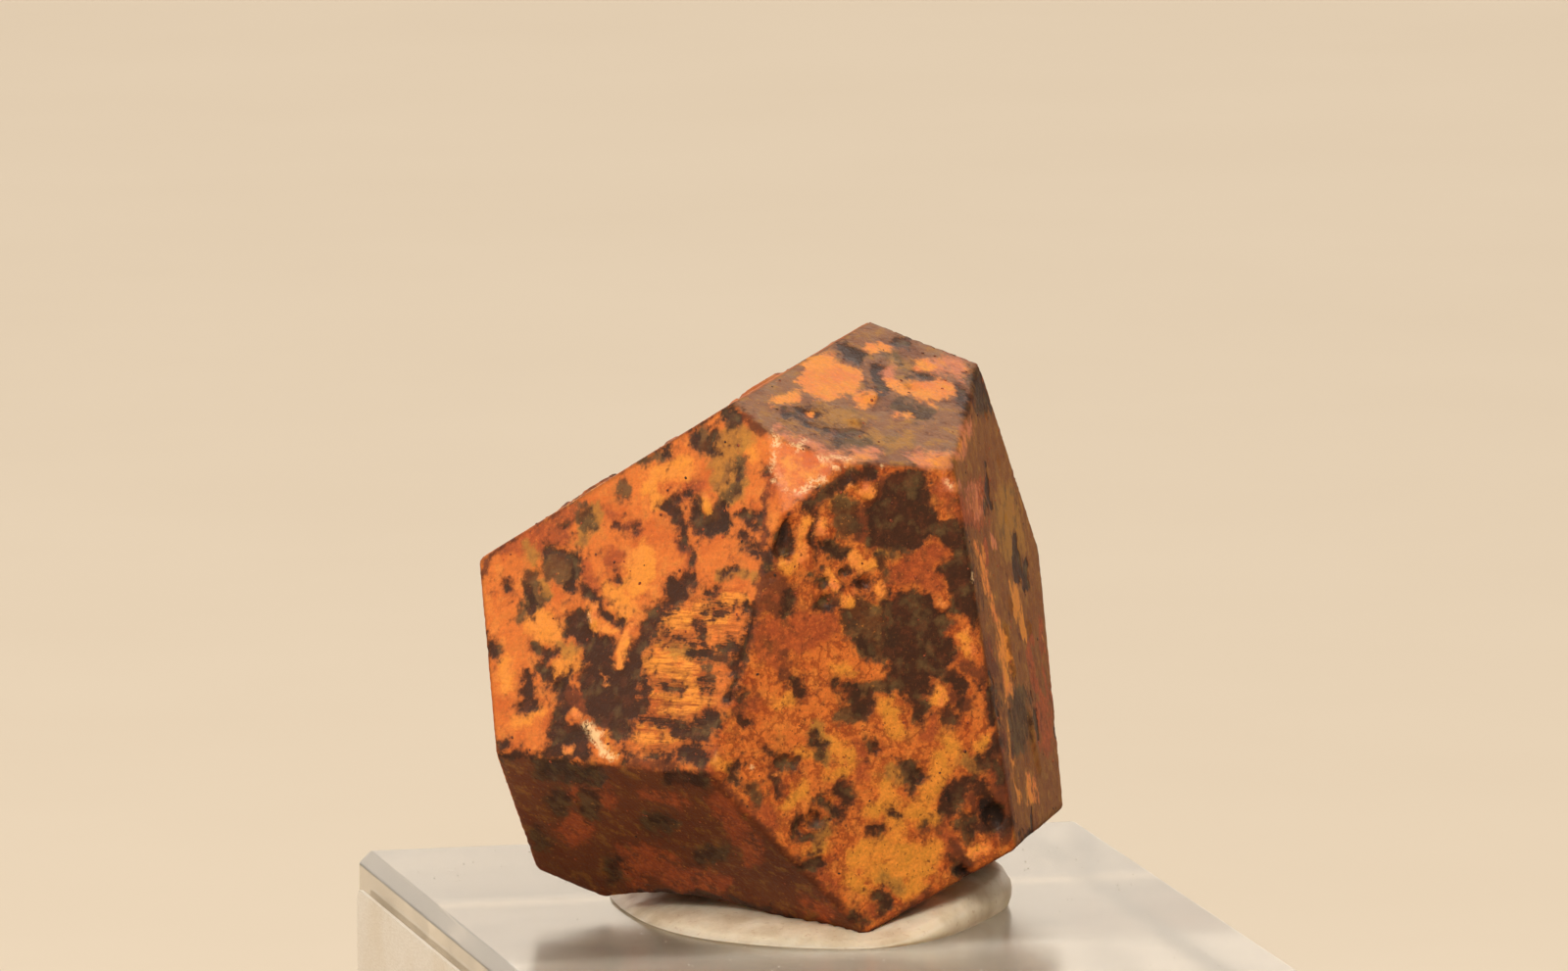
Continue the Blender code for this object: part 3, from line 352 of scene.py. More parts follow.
# the pale spots on the front are painted glints
PAINTED_GLINTS = [
    (0.26, ((-13.2, -6.3), (-12.7, -7.3))), (0.30, ((-12.7, -7.3), (-11.6, -8.6))),
    (0.2, ((-0.7, 12.8), (-0.6, 12.2))), (0.14, ((-0.8, 11.4), (-0.7, 9.7))),
    (0.2, ((0.4, 12.2), (0.9, 11.9), (1.5, 12.2))), (0.16, ((2.3, 11.2), (3.2, 11.3), (4.4, 11.1))),
    (0.14, ((3.0, 10.6), (3.9, 10.4))), (0.16, ((1.5, 9.4), (2.7, 9.8))), (0.1, ((12.6, 3.35),)),
    (0.1, ((6.6, 10.8),)), (0.12, ((10.8, 9.6), (11.2, 9.3))), (0.1, ((0.2, 8.9), (1.4, 9.0))),
    (0.1, ((-12.9, 0.4),)), (0.1, ((-2.0, -9.3),)),
]
# near-black spots in the pits and hollows of the front
NEAR_BLACK_SPOTS = [
    (0.5, ((13.5, -12.0), (13.8, -12.6))), (0.28, ((11.8, -16.0), (12.1, -16.3))),
    (0.2, ((8.4, -19.0), (8.9, -19.2))), (0.22, ((10.7, -11.0), (10.9, -11.4))),
    (0.16, ((0.1, 6.2), (-0.1, 5.4))), (0.1, ((2.9, 1.6),)),
]
# parts of the front where the growth lines and the pores show
STRIATED_PARTS = [
    (0, ((-8.6, 1.4), (-2.8, 2.6), (-2.4, 0.6), (-4.4, -5.0), (-4.6, -8.6), (-10.4, -8.6),
         (-9.2, -2.0))),
]
PITTED_PARTS = [
    (2.0, ((3.4, 3.2), (5.0, 3.0))), (1.4, ((1.6, -13.0), (3.4, -11.6))),
    (1.6, ((12.6, -12.4), (11.6, -14.8))), (1.5, ((-4.8, 8.0),)), (1.0, ((-0.2, 5.4),)),
    (1.6, ((-11.5, -4.0),)), (1.2, ((0.0, -9.6),)),
]
# hollows on the front: half-width, points and depth (mm)
HOLLOWS = [
    (0.62, ((0.05, 6.4), (-0.3, 5.3)), 0.65),
    (0.26, ((-2.1, 1.0), (-2.4, 0.0), (-2.9, -2.0), (-3.7, -4.6)), 0.3),
    (0.75, ((13.5, -11.8), (13.8, -12.6)), 0.16), (0.35, ((14.2, -12.9), (14.0, -13.6)), 0.2),
    (0.5, ((11.8, -15.9), (12.1, -16.4)), 0.2), (0.2, ((11.2, -15.6), (11.7, -15.9)), 0.2),
    (0.2, ((1.8, -12.7), (2.1, -12.9)), 0.16), (0.2, ((1.0, -12.8), (0.9, -13.4)), 0.16),
    (0.18, ((1.6, -13.8), (1.8, -13.9)), 0.15), (0.16, ((2.4, 1.6), (3.0, 1.7)), 0.18),
    (0.13, ((2.6, 2.9),), 0.18), (0.12, ((4.0, 3.7),), 0.16), (0.14, ((3.3, 3.5),), 0.16),
    (0.12, ((3.6, 2.6),), 0.16), (0.12, ((4.4, 2.3),), 0.15), (0.1, ((4.6, 3.4),), 0.15),
    (0.16, ((5.0, 2.9), (5.3, 2.8)), 0.18), (0.26, ((8.4, -19.1), (9.0, -19.3)), 0.2),
    (0.3, ((-0.5, -8.9), (0.5, -9.0)), 0.2), (0.14, ((2.1, 7.4), (2.1, 5.6), (2.2, 4.4)), 0.2),
]
# strewn patches on the faces that are hidden or seen at a slant: width of the patches (mm) and share
# of the surface covered
STREWN_PATCHES = {
    "red": (7.0, 0.18), "yellow": (4.4, 0.17), "mustard": (3.6, 0.08), "maroon": (4.2, 0.10),
    "olive": (3.4, 0.09), "dark": (5.2, 0.17), "orange": (3.0, 0.08), "pale": (0.6, 0.002),
    "pink": (3.2, 0.03), "near_black": (1.6, 0.006),
}
STREWN_STEP = (7.3, 1.9, 4.1)     # shift of the noise between one kind of strewn patch and the next
STREWN_DIMENSION = 0.85           # how fast the finer layers of that noise get weaker
STREWN_LACUNARITY = 2.1           # how much finer each layer is than the one before
STREWN_OCTAVES = 4                # number of layers
STREWN_STEEPNESS = 0.32           # how far the field rises with the noise, as a share of the width
STREWN_SLANTED = -1.50            # mm, how much smaller they are on a face seen at a slant
FRONT_FACING = 0.1                # a surface that faces the view more than this has the placed stains
STREWN_FACING = 0.4               # a surface that faces the view less than this has the strewn patches
SHIFT_SEED = 4                    # fixes the random shifts of the stains' edges
SHIFTS = ((1.5, 0.34), (0.6, 0.24))  # size of the waves and reach of these shifts (mm)
# ---- where each kind of relief shows
LEFT_FACING = 0.93                # a surface is part of the left face above this cosine to its normal
RIGHT_FACING = 0.9                # and the same for the right face
STRIATED_ELSEWHERE = 0.12         # strength of the growth lines outside the striated part, of 1
STRIATED_REACH = 0.4              # mm, by which the striated part is widened
PITTED_HIDDEN = 0.35              # strength of the pores on the hidden faces, of 1
GRANULAR_FRONT = 0.12             # strength of the crumbly texture on the front, the right face apart
GRANULAR_HIDDEN = 0.5             # and on the hidden faces
HOLLOW_RIM = 0.3                  # mm, width of a hollow's sloping side
EDGE_TURN = (0.985, 0.08)         # cosine to the nearest face where the bent parts (edges, lumps and hollows) start, and their fall
LINES_PER_METRE = 2600.0          # fineness of the growth lines
LINE_WARP = 0.0009                # m, how far they waver
DARK_SUNK = 0.06 * MM             # how far dark stains and the painted shade by the bottom edge are sunk
STROKE_MERGE = 0.12               # mm, how softly strokes of one kind run together
FAR_OUTSIDE = -3.0                # mm, value of a stain's field far from all its strokes


def linear(colour):
    """Linear RGB of an sRGB colour given from 0 to 255."""
    share = np.asarray(colour, float) / 255.0
    bright = ((share + 0.055) / 1.055) ** 2.4
    return tuple(float(value) for value in np.where(share > 0.04045, bright, share / 12.92))


class CrystalSettings(bpy.types.PropertyGroup):
    """Sizes and colours of the crystal's surface."""

    mesh_size: FloatProperty(
        name="Mesh size", description="Size of the even surface mesh", default=0.285 * MM,
        unit="LENGTH", precision=5,
    )
    relief_depth: FloatProperty(
        name="Relief depth", description="Depth of the weathered relief", default=0.07 * MM,
        unit="LENGTH", precision=5,
    )
    relief_size: FloatProperty(
        name="Relief size", description="Width of the relief's bumps", default=0.9 * MM,
        unit="LENGTH", precision=5,
    )
    pit_depth: FloatProperty(
        name="Pit depth", description="Depth of the pitted parts", default=0.22 * MM, unit="LENGTH",
        precision=5,
    )
    line_depth: FloatProperty(
        name="Growth line depth", description="Depth of the striations", default=0.10 * MM,
        unit="LENGTH", precision=5,
    )
    grain_count: IntProperty(
        name="Grains", description="Number of earthy grains on the surface", default=650, min=0,
    )
    grain_size: FloatProperty(
        name="Grain size", description="Width of the largest grain", default=0.32 * MM,
        unit="LENGTH", precision=5,
    )
    red: FloatVectorProperty(
        name="Red-brown", description="Colour of the red-brown stains", size=3, subtype="COLOR",
        default=linear((160, 72, 32)),
    )
    yellow: FloatVectorProperty(
        name="Yellow ochre", description="Colour of the yellow stains", size=3, subtype="COLOR",
        default=linear((240, 152, 52)),
    )
    mustard: FloatVectorProperty(
        name="Mustard", description="Colour of the mustard stains", size=3, subtype="COLOR",
        default=linear((176, 122, 48)),
    )
    maroon: FloatVectorProperty(
        name="Maroon", description="Colour of the dark red-brown stains", size=3, subtype="COLOR",
        default=linear((102, 49, 23)),
    )
    olive: FloatVectorProperty(
        name="Olive", description="Colour of the olive-grey stains", size=3, subtype="COLOR",
        default=linear((98, 74, 42)),
    )
    # dark: also the colour of the painted shade along the lower left face's bottom edge
    dark: FloatVectorProperty(
        name="Dark", description="Colour of the brown-black stains", size=3, subtype="COLOR",
        default=linear((56, 27, 8)),
    )
    orange: FloatVectorProperty(
        name="Orange", description="Colour of the orange spots", size=3, subtype="COLOR",
        default=linear((246, 152, 60)),
    )
    pink: FloatVectorProperty(
        name="Pink", description="Colour of the pinkish spots", size=3, subtype="COLOR",
        default=linear((222, 132, 92)),
    )
    # pale: the colour of the painted glints on the front, and of pale chips strewn on the hidden faces
    pale: FloatVectorProperty(
        name="Pale", description="Colour of fresh pale chips", size=3, subtype="COLOR",
        default=linear((250, 206, 150)),
    )


class MountSettings(bpy.types.PropertyGroup):
    """Sizes and colours of the putty, the block and the label."""

    putty_colour: FloatVectorProperty(
        name="Putty", description="Colour of the putty", size=3, subtype="COLOR",
        default=linear((236, 219, 194)),
    )
    putty_rim: FloatProperty(
        name="Putty rim", description="Height of the putty's rim on the left", default=0.22 * MM,
        unit="LENGTH", precision=5,
    )
    chamfer: FloatProperty(
        name="Block chamfer", description="Width of the block's bevel", default=0.80 * MM,
        unit="LENGTH", precision=5,
    )
    arris: FloatProperty(
        name="Block arris", description="Rounding of the bevel's edges", default=0.12 * MM,
        unit="LENGTH", precision=5,
    )
    card_colour: FloatVectorProperty(
        name="Card", description="Colour of the label card", size=3, subtype="COLOR",
        default=linear((238, 231, 220)),
    )
    speck_count: IntProperty(
        name="Dust specks", description="Number of dust specks on the block", default=420, min=0,
    )
    speck_size: FloatProperty(
        name="Speck size", description="Width of the largest speck", default=0.16 * MM,
        unit="LENGTH", precision=5,
    )


class StageSettings(bpy.types.PropertyGroup):
    """Studio around the object."""

    floor_colour: FloatVectorProperty(
        name="Floor", description="Colour of the studio floor", size=3, subtype="COLOR",
        default=linear((232, 218, 198)),
    )
    key_power: FloatProperty(
        name="Key light", description="Power of the main light", default=13.5, unit="POWER",
    )
    fill_power: FloatProperty(
        name="Fill light", description="Power of the fill light", default=4.2, unit="POWER",
    )
    back_power: FloatProperty(
        name="Back light", description="Power of the light from behind", default=3.0, unit="POWER",
    )
    bevel_power: FloatProperty(
        name="Bevel light", description="Power of the small light that the bevel mirrors",
        default=0.45, unit="POWER",
    )
    sky_strength: FloatProperty(
        name="Surroundings", description="Brightness of the surroundings", default=0.36,
    )
    screen_power: FloatProperty(
        name="Back screen", description="Power of the wide soft light behind", default=15.0,
        unit="POWER",
    )


# ------------------------------------------------------------------ helpers
def put_mesh(name, mesh, surface):
    """Show a mesh as a piece with one material."""
    mesh.name = name
    mesh.materials.clear()
    mesh.materials.append(surface)
    piece = bpy.data.objects.new(name, mesh)
    bpy.context.scene.collection.objects.link(piece)
    return piece


def put_shape(name, shape, surface, smooth=True):
    """Turn a bmesh into a piece with outward normals."""
    bmesh.ops.recalc_face_normals(shape, faces=shape.faces)
    mesh = bpy.data.meshes.new(name)
    shape.to_mesh(mesh)
    shape.free()
    mesh.polygons.foreach_set("use_smooth", [smooth] * len(mesh.polygons))
    return put_mesh(name, mesh, surface)


def finish_modifiers(piece):
    """Replace a piece's mesh by the result of its modifiers."""
    evaluated = piece.evaluated_get(bpy.context.evaluated_depsgraph_get())
    mesh = bpy.data.meshes.new_from_object(evaluated)
    piece.modifiers.clear()
    piece.data = mesh


def node(tree, kind, inputs=None, **settings):
    """Add a node, set it up, and link or fill its inputs."""
    made = tree.nodes.new(kind)
    for name, value in settings.items():
        setattr(made, name, value)
    for key, value in (inputs or {}).items():
        if isinstance(value, bpy.types.NodeSocket):
            tree.links.new(value, made.inputs[key])
        else:
            made.inputs[key].default_value = value
    return made


def calculate(tree, operation, first, second, third=0.0):
    """Socket of a Math node."""
    return node(tree, "ShaderNodeMath", {0: first, 1: second, 2: third}, operation=operation).outputs[0]


def blend_colours(tree, share, first, second, blend="MIX"):
    """Socket of a colour Mix node."""
    mix = node(tree, "ShaderNodeMix", {0: share}, data_type="RGBA", blend_type=blend)
    for index, value in ((6, first), (7, second)):
        if isinstance(value, bpy.types.NodeSocket):
            tree.links.new(value, mix.inputs[index])
        else:
            mix.inputs[index].default_value = (*value, 1.0)
    return mix.outputs[2]


def remap(tree, value, low, high, to_low=0.0, to_high=1.0, smooth=False):
    """Socket of a Map Range node."""
    inputs = {"Value": value, "From Min": low, "From Max": high, "To Min": to_low, "To Max": to_high}
    style = "SMOOTHSTEP" if smooth else "LINEAR"
    return node(tree, "ShaderNodeMapRange", inputs, interpolation_type=style).outputs[0]


def grain_noise(tree, size, detail=3.0, roughness=0.55, spread=(1.0, 1.0, 1.0), turned=False, offset=0.0):
    """Noise on object coordinates, with the size of its lumps in mm, drawn out by spread."""
    place = node(tree, "ShaderNodeTexCoord").outputs["Object"]
    inputs = {
        "Vector": place,
        "Location": (offset, offset, offset),
        "Scale": [size * MM * value for value in spread],
    }
    if turned:
        inputs["Rotation"] = tuple(CRYSTAL_AXES)
    mapping = node(tree, "ShaderNodeMapping", inputs, vector_type="TEXTURE")
    inputs = {"Vector": mapping.outputs[0], "Scale": 1.0, "Detail": detail, "Roughness": roughness}
    return node(tree, "ShaderNodeTexNoise", inputs).outputs[0]


def new_material(name, **values):
    """New Principled material; values go on the shader's own sockets."""
    surface = bpy.data.materials.new(name)
    surface.use_nodes = True
    shader = surface.node_tree.nodes["Principled BSDF"]
    for key, value in values.items():
        shader.inputs[key.replace("_", " ")].default_value = value
    return surface, surface.node_tree, shader


def bump(tree, shader, height, depth, strength=1.0):
    """Raise a surface's shading by a height socket, depth in mm."""
    step = node(tree, "ShaderNodeBump", {"Height": height, "Distance": depth * MM, "Strength": strength})
    tree.links.new(step.outputs[0], shader.inputs["Normal"])


# ------------------------------------------------------------------ crystal
def view_axes():
    """The view's right, up and backward directions."""
    back = Vector((
        math.sin(VIEW_TURN) * math.cos(VIEW_TILT),
        -math.cos(VIEW_TURN) * math.cos(VIEW_TILT),
        math.sin(VIEW_TILT),
    ))
    right = Vector((math.cos(VIEW_TURN), math.sin(VIEW_TURN), 0.0))
    return right, back.cross(right), back


def seen_places(points):
    """Where points are seen, in mm across and up."""
    right, up, back = (np.array(axis) for axis in view_axes())
    offset = points - np.array(CAMERA_PLACE)
    scale = SEEN_SCALE / -(offset @ back)
    return np.stack([offset @ right * scale, offset @ up * scale + SEEN_RAISE], axis=1)


def wobble(points, size, reach):
    """Smooth random shifts: size of the waves and their reach in mm."""
    scale = 1.0 / (size * MM)
    return np.array([noise.noise_vector(Vector(point) * scale) for point in points]) * reach


def distance(places, start, end):
    """Distance of places from the straight line between two points."""
    start = np.array(start)
    along = np.array(end) - start
    share = np.clip((places - start) @ along / max(along @ along, 1e-9), 0.0, 1.0)
    return np.linalg.norm(places - start - share[:, None] * along, axis=1)


def inside_outline(places, outline):
    """Whether places lie inside a closed outline."""
    inside = np.zeros(len(places), bool)
    across, up = places.T
    for (x0, y0), (x1, y1) in zip(outline, outline[1:] + outline[:1]):
        if y0 != y1:
            crossed = (y0 > up) != (y1 > up)
            inside ^= crossed & (across < (x1 - x0) * (up - y0) / (y1 - y0) + x0)
    return inside


def stain_field(places, strokes):
    """How far places lie inside the nearest stroke or outline (mm), negative outside."""
    field = np.full(len(places), FAR_OUTSIDE / STROKE_MERGE)
    for half_width, points in strokes:
        if half_width:
            ends = points[1:] or points
        else:
            ends = points[1:] + points[:1]
        away = np.min([distance(places, start, end) for start, end in zip(points, ends)], axis=0)
        if not half_width:
            away = np.where(inside_outline(places, points), -away, away)
        field = np.logaddexp(field, (half_width - away) / STROKE_MERGE)
    return np.maximum(field * STROKE_MERGE, FAR_OUTSIDE)


def strewn_field(points, kind):
    """Field of random ragged patches of one kind of stain (mm)."""
    size, share = STREWN_PATCHES[kind]
    start = Vector(STREWN_STEP) * list(STREWN_PATCHES).index(kind)
    layers = (STREWN_DIMENSION, STREWN_LACUNARITY, STREWN_OCTAVES)
    values = np.array([noise.fractal(Vector(point) / size + start, *layers) for point in points])
    edge = np.quantile(values, 1.0 - share)
    return np.clip((values - edge) / values.std() * STREWN_STEEPNESS * size, FAR_OUTSIDE, None)


def store(mesh, name, values):
    """Keep one number for each vertex."""
    attribute = mesh.attributes.new(name, "FLOAT", "POINT")
    attribute.data.foreach_set("value", np.asarray(values, np.float32))


def paint_crystal(mesh):
    """Work out the ground colour, the stain fields and the strength of the relief at every vertex."""
    count = len(mesh.vertices)
    points = np.empty(count * 3)
    normals = np.empty(count * 3)
    mesh.vertices.foreach_get("co", points)
    mesh.vertices.foreach_get("normal", normals)
    points = points.reshape(-1, 3)
    normals = normals.reshape(-1, 3)
    noise.seed_set(SHIFT_SEED)
    shifts = sum(wobble(points, size, reach) for size, reach in SHIFTS)
    facing = normals @ np.array(view_axes()[2])
    front = facing > FRONT_FACING
    hidden = facing < STREWN_FACING
    seen = seen_places(points) + shifts[:, :2]
    solid = points[hidden] / MM + shifts[hidden]
    listed = {
        "red": RED_STAINS, "yellow": YELLOW_STAINS, "mustard": MUSTARD_STAINS, "maroon": MAROON_STAINS,
        "olive": OLIVE_STAINS, "dark": DARK_STAINS_AND_SHADE, "orange": ORANGE_SPOTS, "pale": PAINTED_GLINTS,
        "pink": PINK_SPOTS_AND_GLINTS, "near_black": NEAR_BLACK_SPOTS,
    }
    for kind, strokes in listed.items():
        field = np.full(count, FAR_OUTSIDE)
        field[front] = stain_field(seen[front], strokes)
        strewn = strewn_field(solid, kind) + np.where(front[hidden], STREWN_SLANTED, 0.0)
        field[hidden] = np.maximum(field[hidden], strewn)
        store(mesh, kind, field)
    left = normals @ np.array(FACE_TONES["left"][0]) > LEFT_FACING
    striated = np.clip(stain_field(seen, STRIATED_PARTS) + STRIATED_REACH, STRIATED_ELSEWHERE, 1.0)
    store(mesh, "striated", np.where(left, striated, STRIATED_ELSEWHERE))
    pitted = np.clip(stain_field(seen, PITTED_PARTS), 0.0, 1.0)
    store(mesh, "pitted", np.where(front, pitted, PITTED_HIDDEN))
    right = normals @ np.array(FACE_TONES["right"][0]) > RIGHT_FACING
    store(mesh, "granular", np.where(right, 1.0, np.where(front, GRANULAR_FRONT, GRANULAR_HIDDEN)))
    hollow = np.zeros(count)
    for half_width, stroke, depth in HOLLOWS:
        inside = np.clip(0.5 + stain_field(seen, [(half_width, stroke)]) / HOLLOW_RIM, 0.0, 1.0)
        sunk = inside * inside * (3.0 - 2.0 * inside) * depth * MM
        hollow = np.maximum(hollow, np.where(front, sunk, 0.0))
    store(mesh, "hollow", hollow)
    tones = list(FACE_TONES.values())
    likeness = [normals @ np.array(tone[0]) for tone in tones]
    weights = np.stack([np.exp(FACE_BLEND * (cosine - 1.0)) for cosine in likeness], axis=1)
    weights /= weights.sum(axis=1, keepdims=True)
    store(mesh, "cloudy", weights @ np.array([tone[3] for tone in tones]))
    store(mesh, "bent", np.clip((EDGE_TURN[0] - np.max(likeness, axis=0)) / EDGE_TURN[1], 0.0, 1.0))
    colours = np.array([(*linear(tone[1]), tone[2]) for tone in tones])
    ground = mesh.color_attributes.new("ground", "FLOAT_COLOR", "POINT")
    ground.data.foreach_set("color", (weights @ colours).astype(np.float32).ravel())


def relief_tree():
    """Geometry nodes that weather a surface: relief, pits and growth lines, pressed inwards."""
    tree = bpy.data.node_groups.new("weathered_relief", "GeometryNodeTree")
    face = tree.interface
    face.new_socket("Geometry", in_out="INPUT", socket_type="NodeSocketGeometry")
    for name in ("Relief depth", "Relief size", "Pit depth", "Line depth"):
        face.new_socket(name, in_out="INPUT", socket_type="NodeSocketFloat")
    face.new_socket("Lines across", in_out="INPUT", socket_type="NodeSocketVector")
    face.new_socket("Seed", in_out="INPUT", socket_type="NodeSocketFloat")
    face.new_socket("Material", in_out="INPUT", socket_type="NodeSocketMaterial")
    face.new_socket("Geometry", in_out="OUTPUT", socket_type="NodeSocketGeometry")
    given = node(tree, "NodeGroupInput").outputs
    place = node(tree, "GeometryNodeInputPosition").outputs[0]
    normal = node(tree, "GeometryNodeInputNormal").outputs[0]
    inverse = calculate(tree, "DIVIDE", 1.0, given["Relief size"])

    def noise_of(scale, detail):
        inputs = {"Vector": place, "W": given["Seed"], "Scale": scale, "Detail": detail, "Roughness": 0.6}
        return node(tree, "ShaderNodeTexNoise", inputs, noise_dimensions="4D").outputs[0]

    def attribute(name):
        return node(tree, "GeometryNodeInputNamedAttribute", {"Name": name}, data_type="FLOAT").outputs[0]

    broad = calculate(tree, "MULTIPLY", noise_of(inverse, 5.0), given["Relief depth"])
    holes = remap(tree, noise_of(calculate(tree, "MULTIPLY", inverse, 1.5), 1.0), 0.56, 0.72, smooth=True)
    holes = calculate(tree, "MULTIPLY", holes, attribute("pitted"))
    holes = calculate(tree, "MULTIPLY", holes, given["Pit depth"])
    along = {0: place, 1: given["Lines across"]}
    along = node(tree, "ShaderNodeVectorMath", along, operation="DOT_PRODUCT").outputs["Value"]
    warp = calculate(tree, "MULTIPLY", noise_of(calculate(tree, "MULTIPLY", inverse, 0.3), 2.0), LINE_WARP)
    lines = {
        "W": calculate(tree, "ADD", along, warp), "Scale": LINES_PER_METRE, "Detail": 3.0, "Roughness": 0.7,
    }
    lines = node(tree, "ShaderNodeTexNoise", lines, noise_dimensions="1D").outputs[0]
    lines = calculate(tree, "MULTIPLY", lines, attribute("striated"))
    lines = calculate(tree, "MULTIPLY", lines, given["Line depth"])
    dark = remap(tree, attribute("dark"), -0.15, 0.25, 0.0, DARK_SUNK, smooth=True)
    broad = calculate(tree, "MULTIPLY", broad, calculate(tree, "ADD", attribute("granular"), 0.5))
    depth = calculate(tree, "ADD", broad, holes)
    depth = calculate(tree, "ADD", depth, calculate(tree, "ADD", lines, dark))
    depth = calculate(tree, "ADD", depth, attribute("hollow"))
    inwards = calculate(tree, "MULTIPLY", depth, -1.0)
    offset = node(tree, "ShaderNodeVectorMath", {0: normal, "Scale": inwards}, operation="SCALE").outputs[0]
    moved = {"Geometry": given["Geometry"], "Offset": offset}
    moved = node(tree, "GeometryNodeSetPosition", moved).outputs[0]
    smooth = node(tree, "GeometryNodeSetShadeSmooth", {0: moved}).outputs[0]
    real = node(tree, "GeometryNodeRealizeInstances", {0: smooth}).outputs[0]
    done = {"Geometry": real, "Material": given["Material"]}
    done = node(tree, "GeometryNodeSetMaterial", done).outputs[0]
    node(tree, "NodeGroupOutput", {"Geometry": done})
    return tree


def scatter_tree():
    """Geometry nodes that strew small uneven grains over a surface."""
    tree = bpy.data.node_groups.new("strewn_grains", "GeometryNodeTree")
    face = tree.interface
    face.new_socket("Geometry", in_out="INPUT", socket_type="NodeSocketGeometry")
    for name in ("Density", "Smallest", "Largest", "Flatness"):
        face.new_socket(name, in_out="INPUT", socket_type="NodeSocketFloat")
    face.new_socket("Seed", in_out="INPUT", socket_type="NodeSocketInt")
    face.new_socket("Material", in_out="INPUT", socket_type="NodeSocketMaterial")
    face.new_socket("Geometry", in_out="OUTPUT", socket_type="NodeSocketGeometry")
    given = node(tree, "NodeGroupInput").outputs
    spread = {"Mesh": given["Geometry"], "Density": given["Density"], "Seed": given["Seed"]}
    spread = node(tree, "GeometryNodeDistributePointsOnFaces", spread, distribute_method="RANDOM")
    grain = node(tree, "GeometryNodeMeshIcoSphere", {"Radius": 0.5, "Subdivisions": 1}).outputs[0]
    size = node(tree, "FunctionNodeRandomValue", {"Seed": given["Seed"]}, data_type="FLOAT")
    tree.links.new(given["Smallest"], size.inputs[2])
    tree.links.new(given["Largest"], size.inputs[3])
    spin = node(tree, "FunctionNodeRandomValue", {"Seed": given["Seed"]}, data_type="FLOAT_VECTOR")
    spin.inputs[0].default_value = (0.0, 0.0, 0.0)
    spin.inputs[1].default_value = (0.0, 0.0, math.tau)
    turn = node(tree, "FunctionNodeRotateRotation", {0: spread.outputs["Rotation"]}, rotation_space="LOCAL")
    euler = node(tree, "FunctionNodeEulerToRotation", {0: spin.outputs[0]})
    tree.links.new(euler.outputs[0], turn.inputs[1])
    stretch = node(tree, "ShaderNodeCombineXYZ", {"X": 1.0, "Y": 0.75, "Z": given["Flatness"]}).outputs[0]
    scale = node(tree, "ShaderNodeVectorMath", {0: stretch, "Scale": size.outputs[1]}, operation="SCALE")
    inputs = {
        "Points": spread.outputs["Points"], "Instance": grain,
        "Rotation": turn.outputs[0], "Scale": scale.outputs[0],
    }
    grains = node(tree, "GeometryNodeInstanceOnPoints", inputs).outputs[0]
    real = node(tree, "GeometryNodeRealizeInstances", {0: grains}).outputs[0]
    smooth = node(tree, "GeometryNodeSetShadeSmooth", {0: real}).outputs[0]
    done = {"Geometry": smooth, "Material": given["Material"]}
    done = node(tree, "GeometryNodeSetMaterial", done).outputs[0]
    node(tree, "NodeGroupOutput", {"Geometry": done})
    return tree


def run_nodes(piece, tree, values):
    """Run geometry nodes on a piece with named inputs, and keep the plain mesh."""
    step = piece.modifiers.new(tree.name, "NODES")
    step.node_group = tree
    for item in tree.interface.items_tree:
        if item.in_out == "INPUT" and item.name in values:
            step[item.identifier] = values[item.name]
    finish_modifiers(piece)


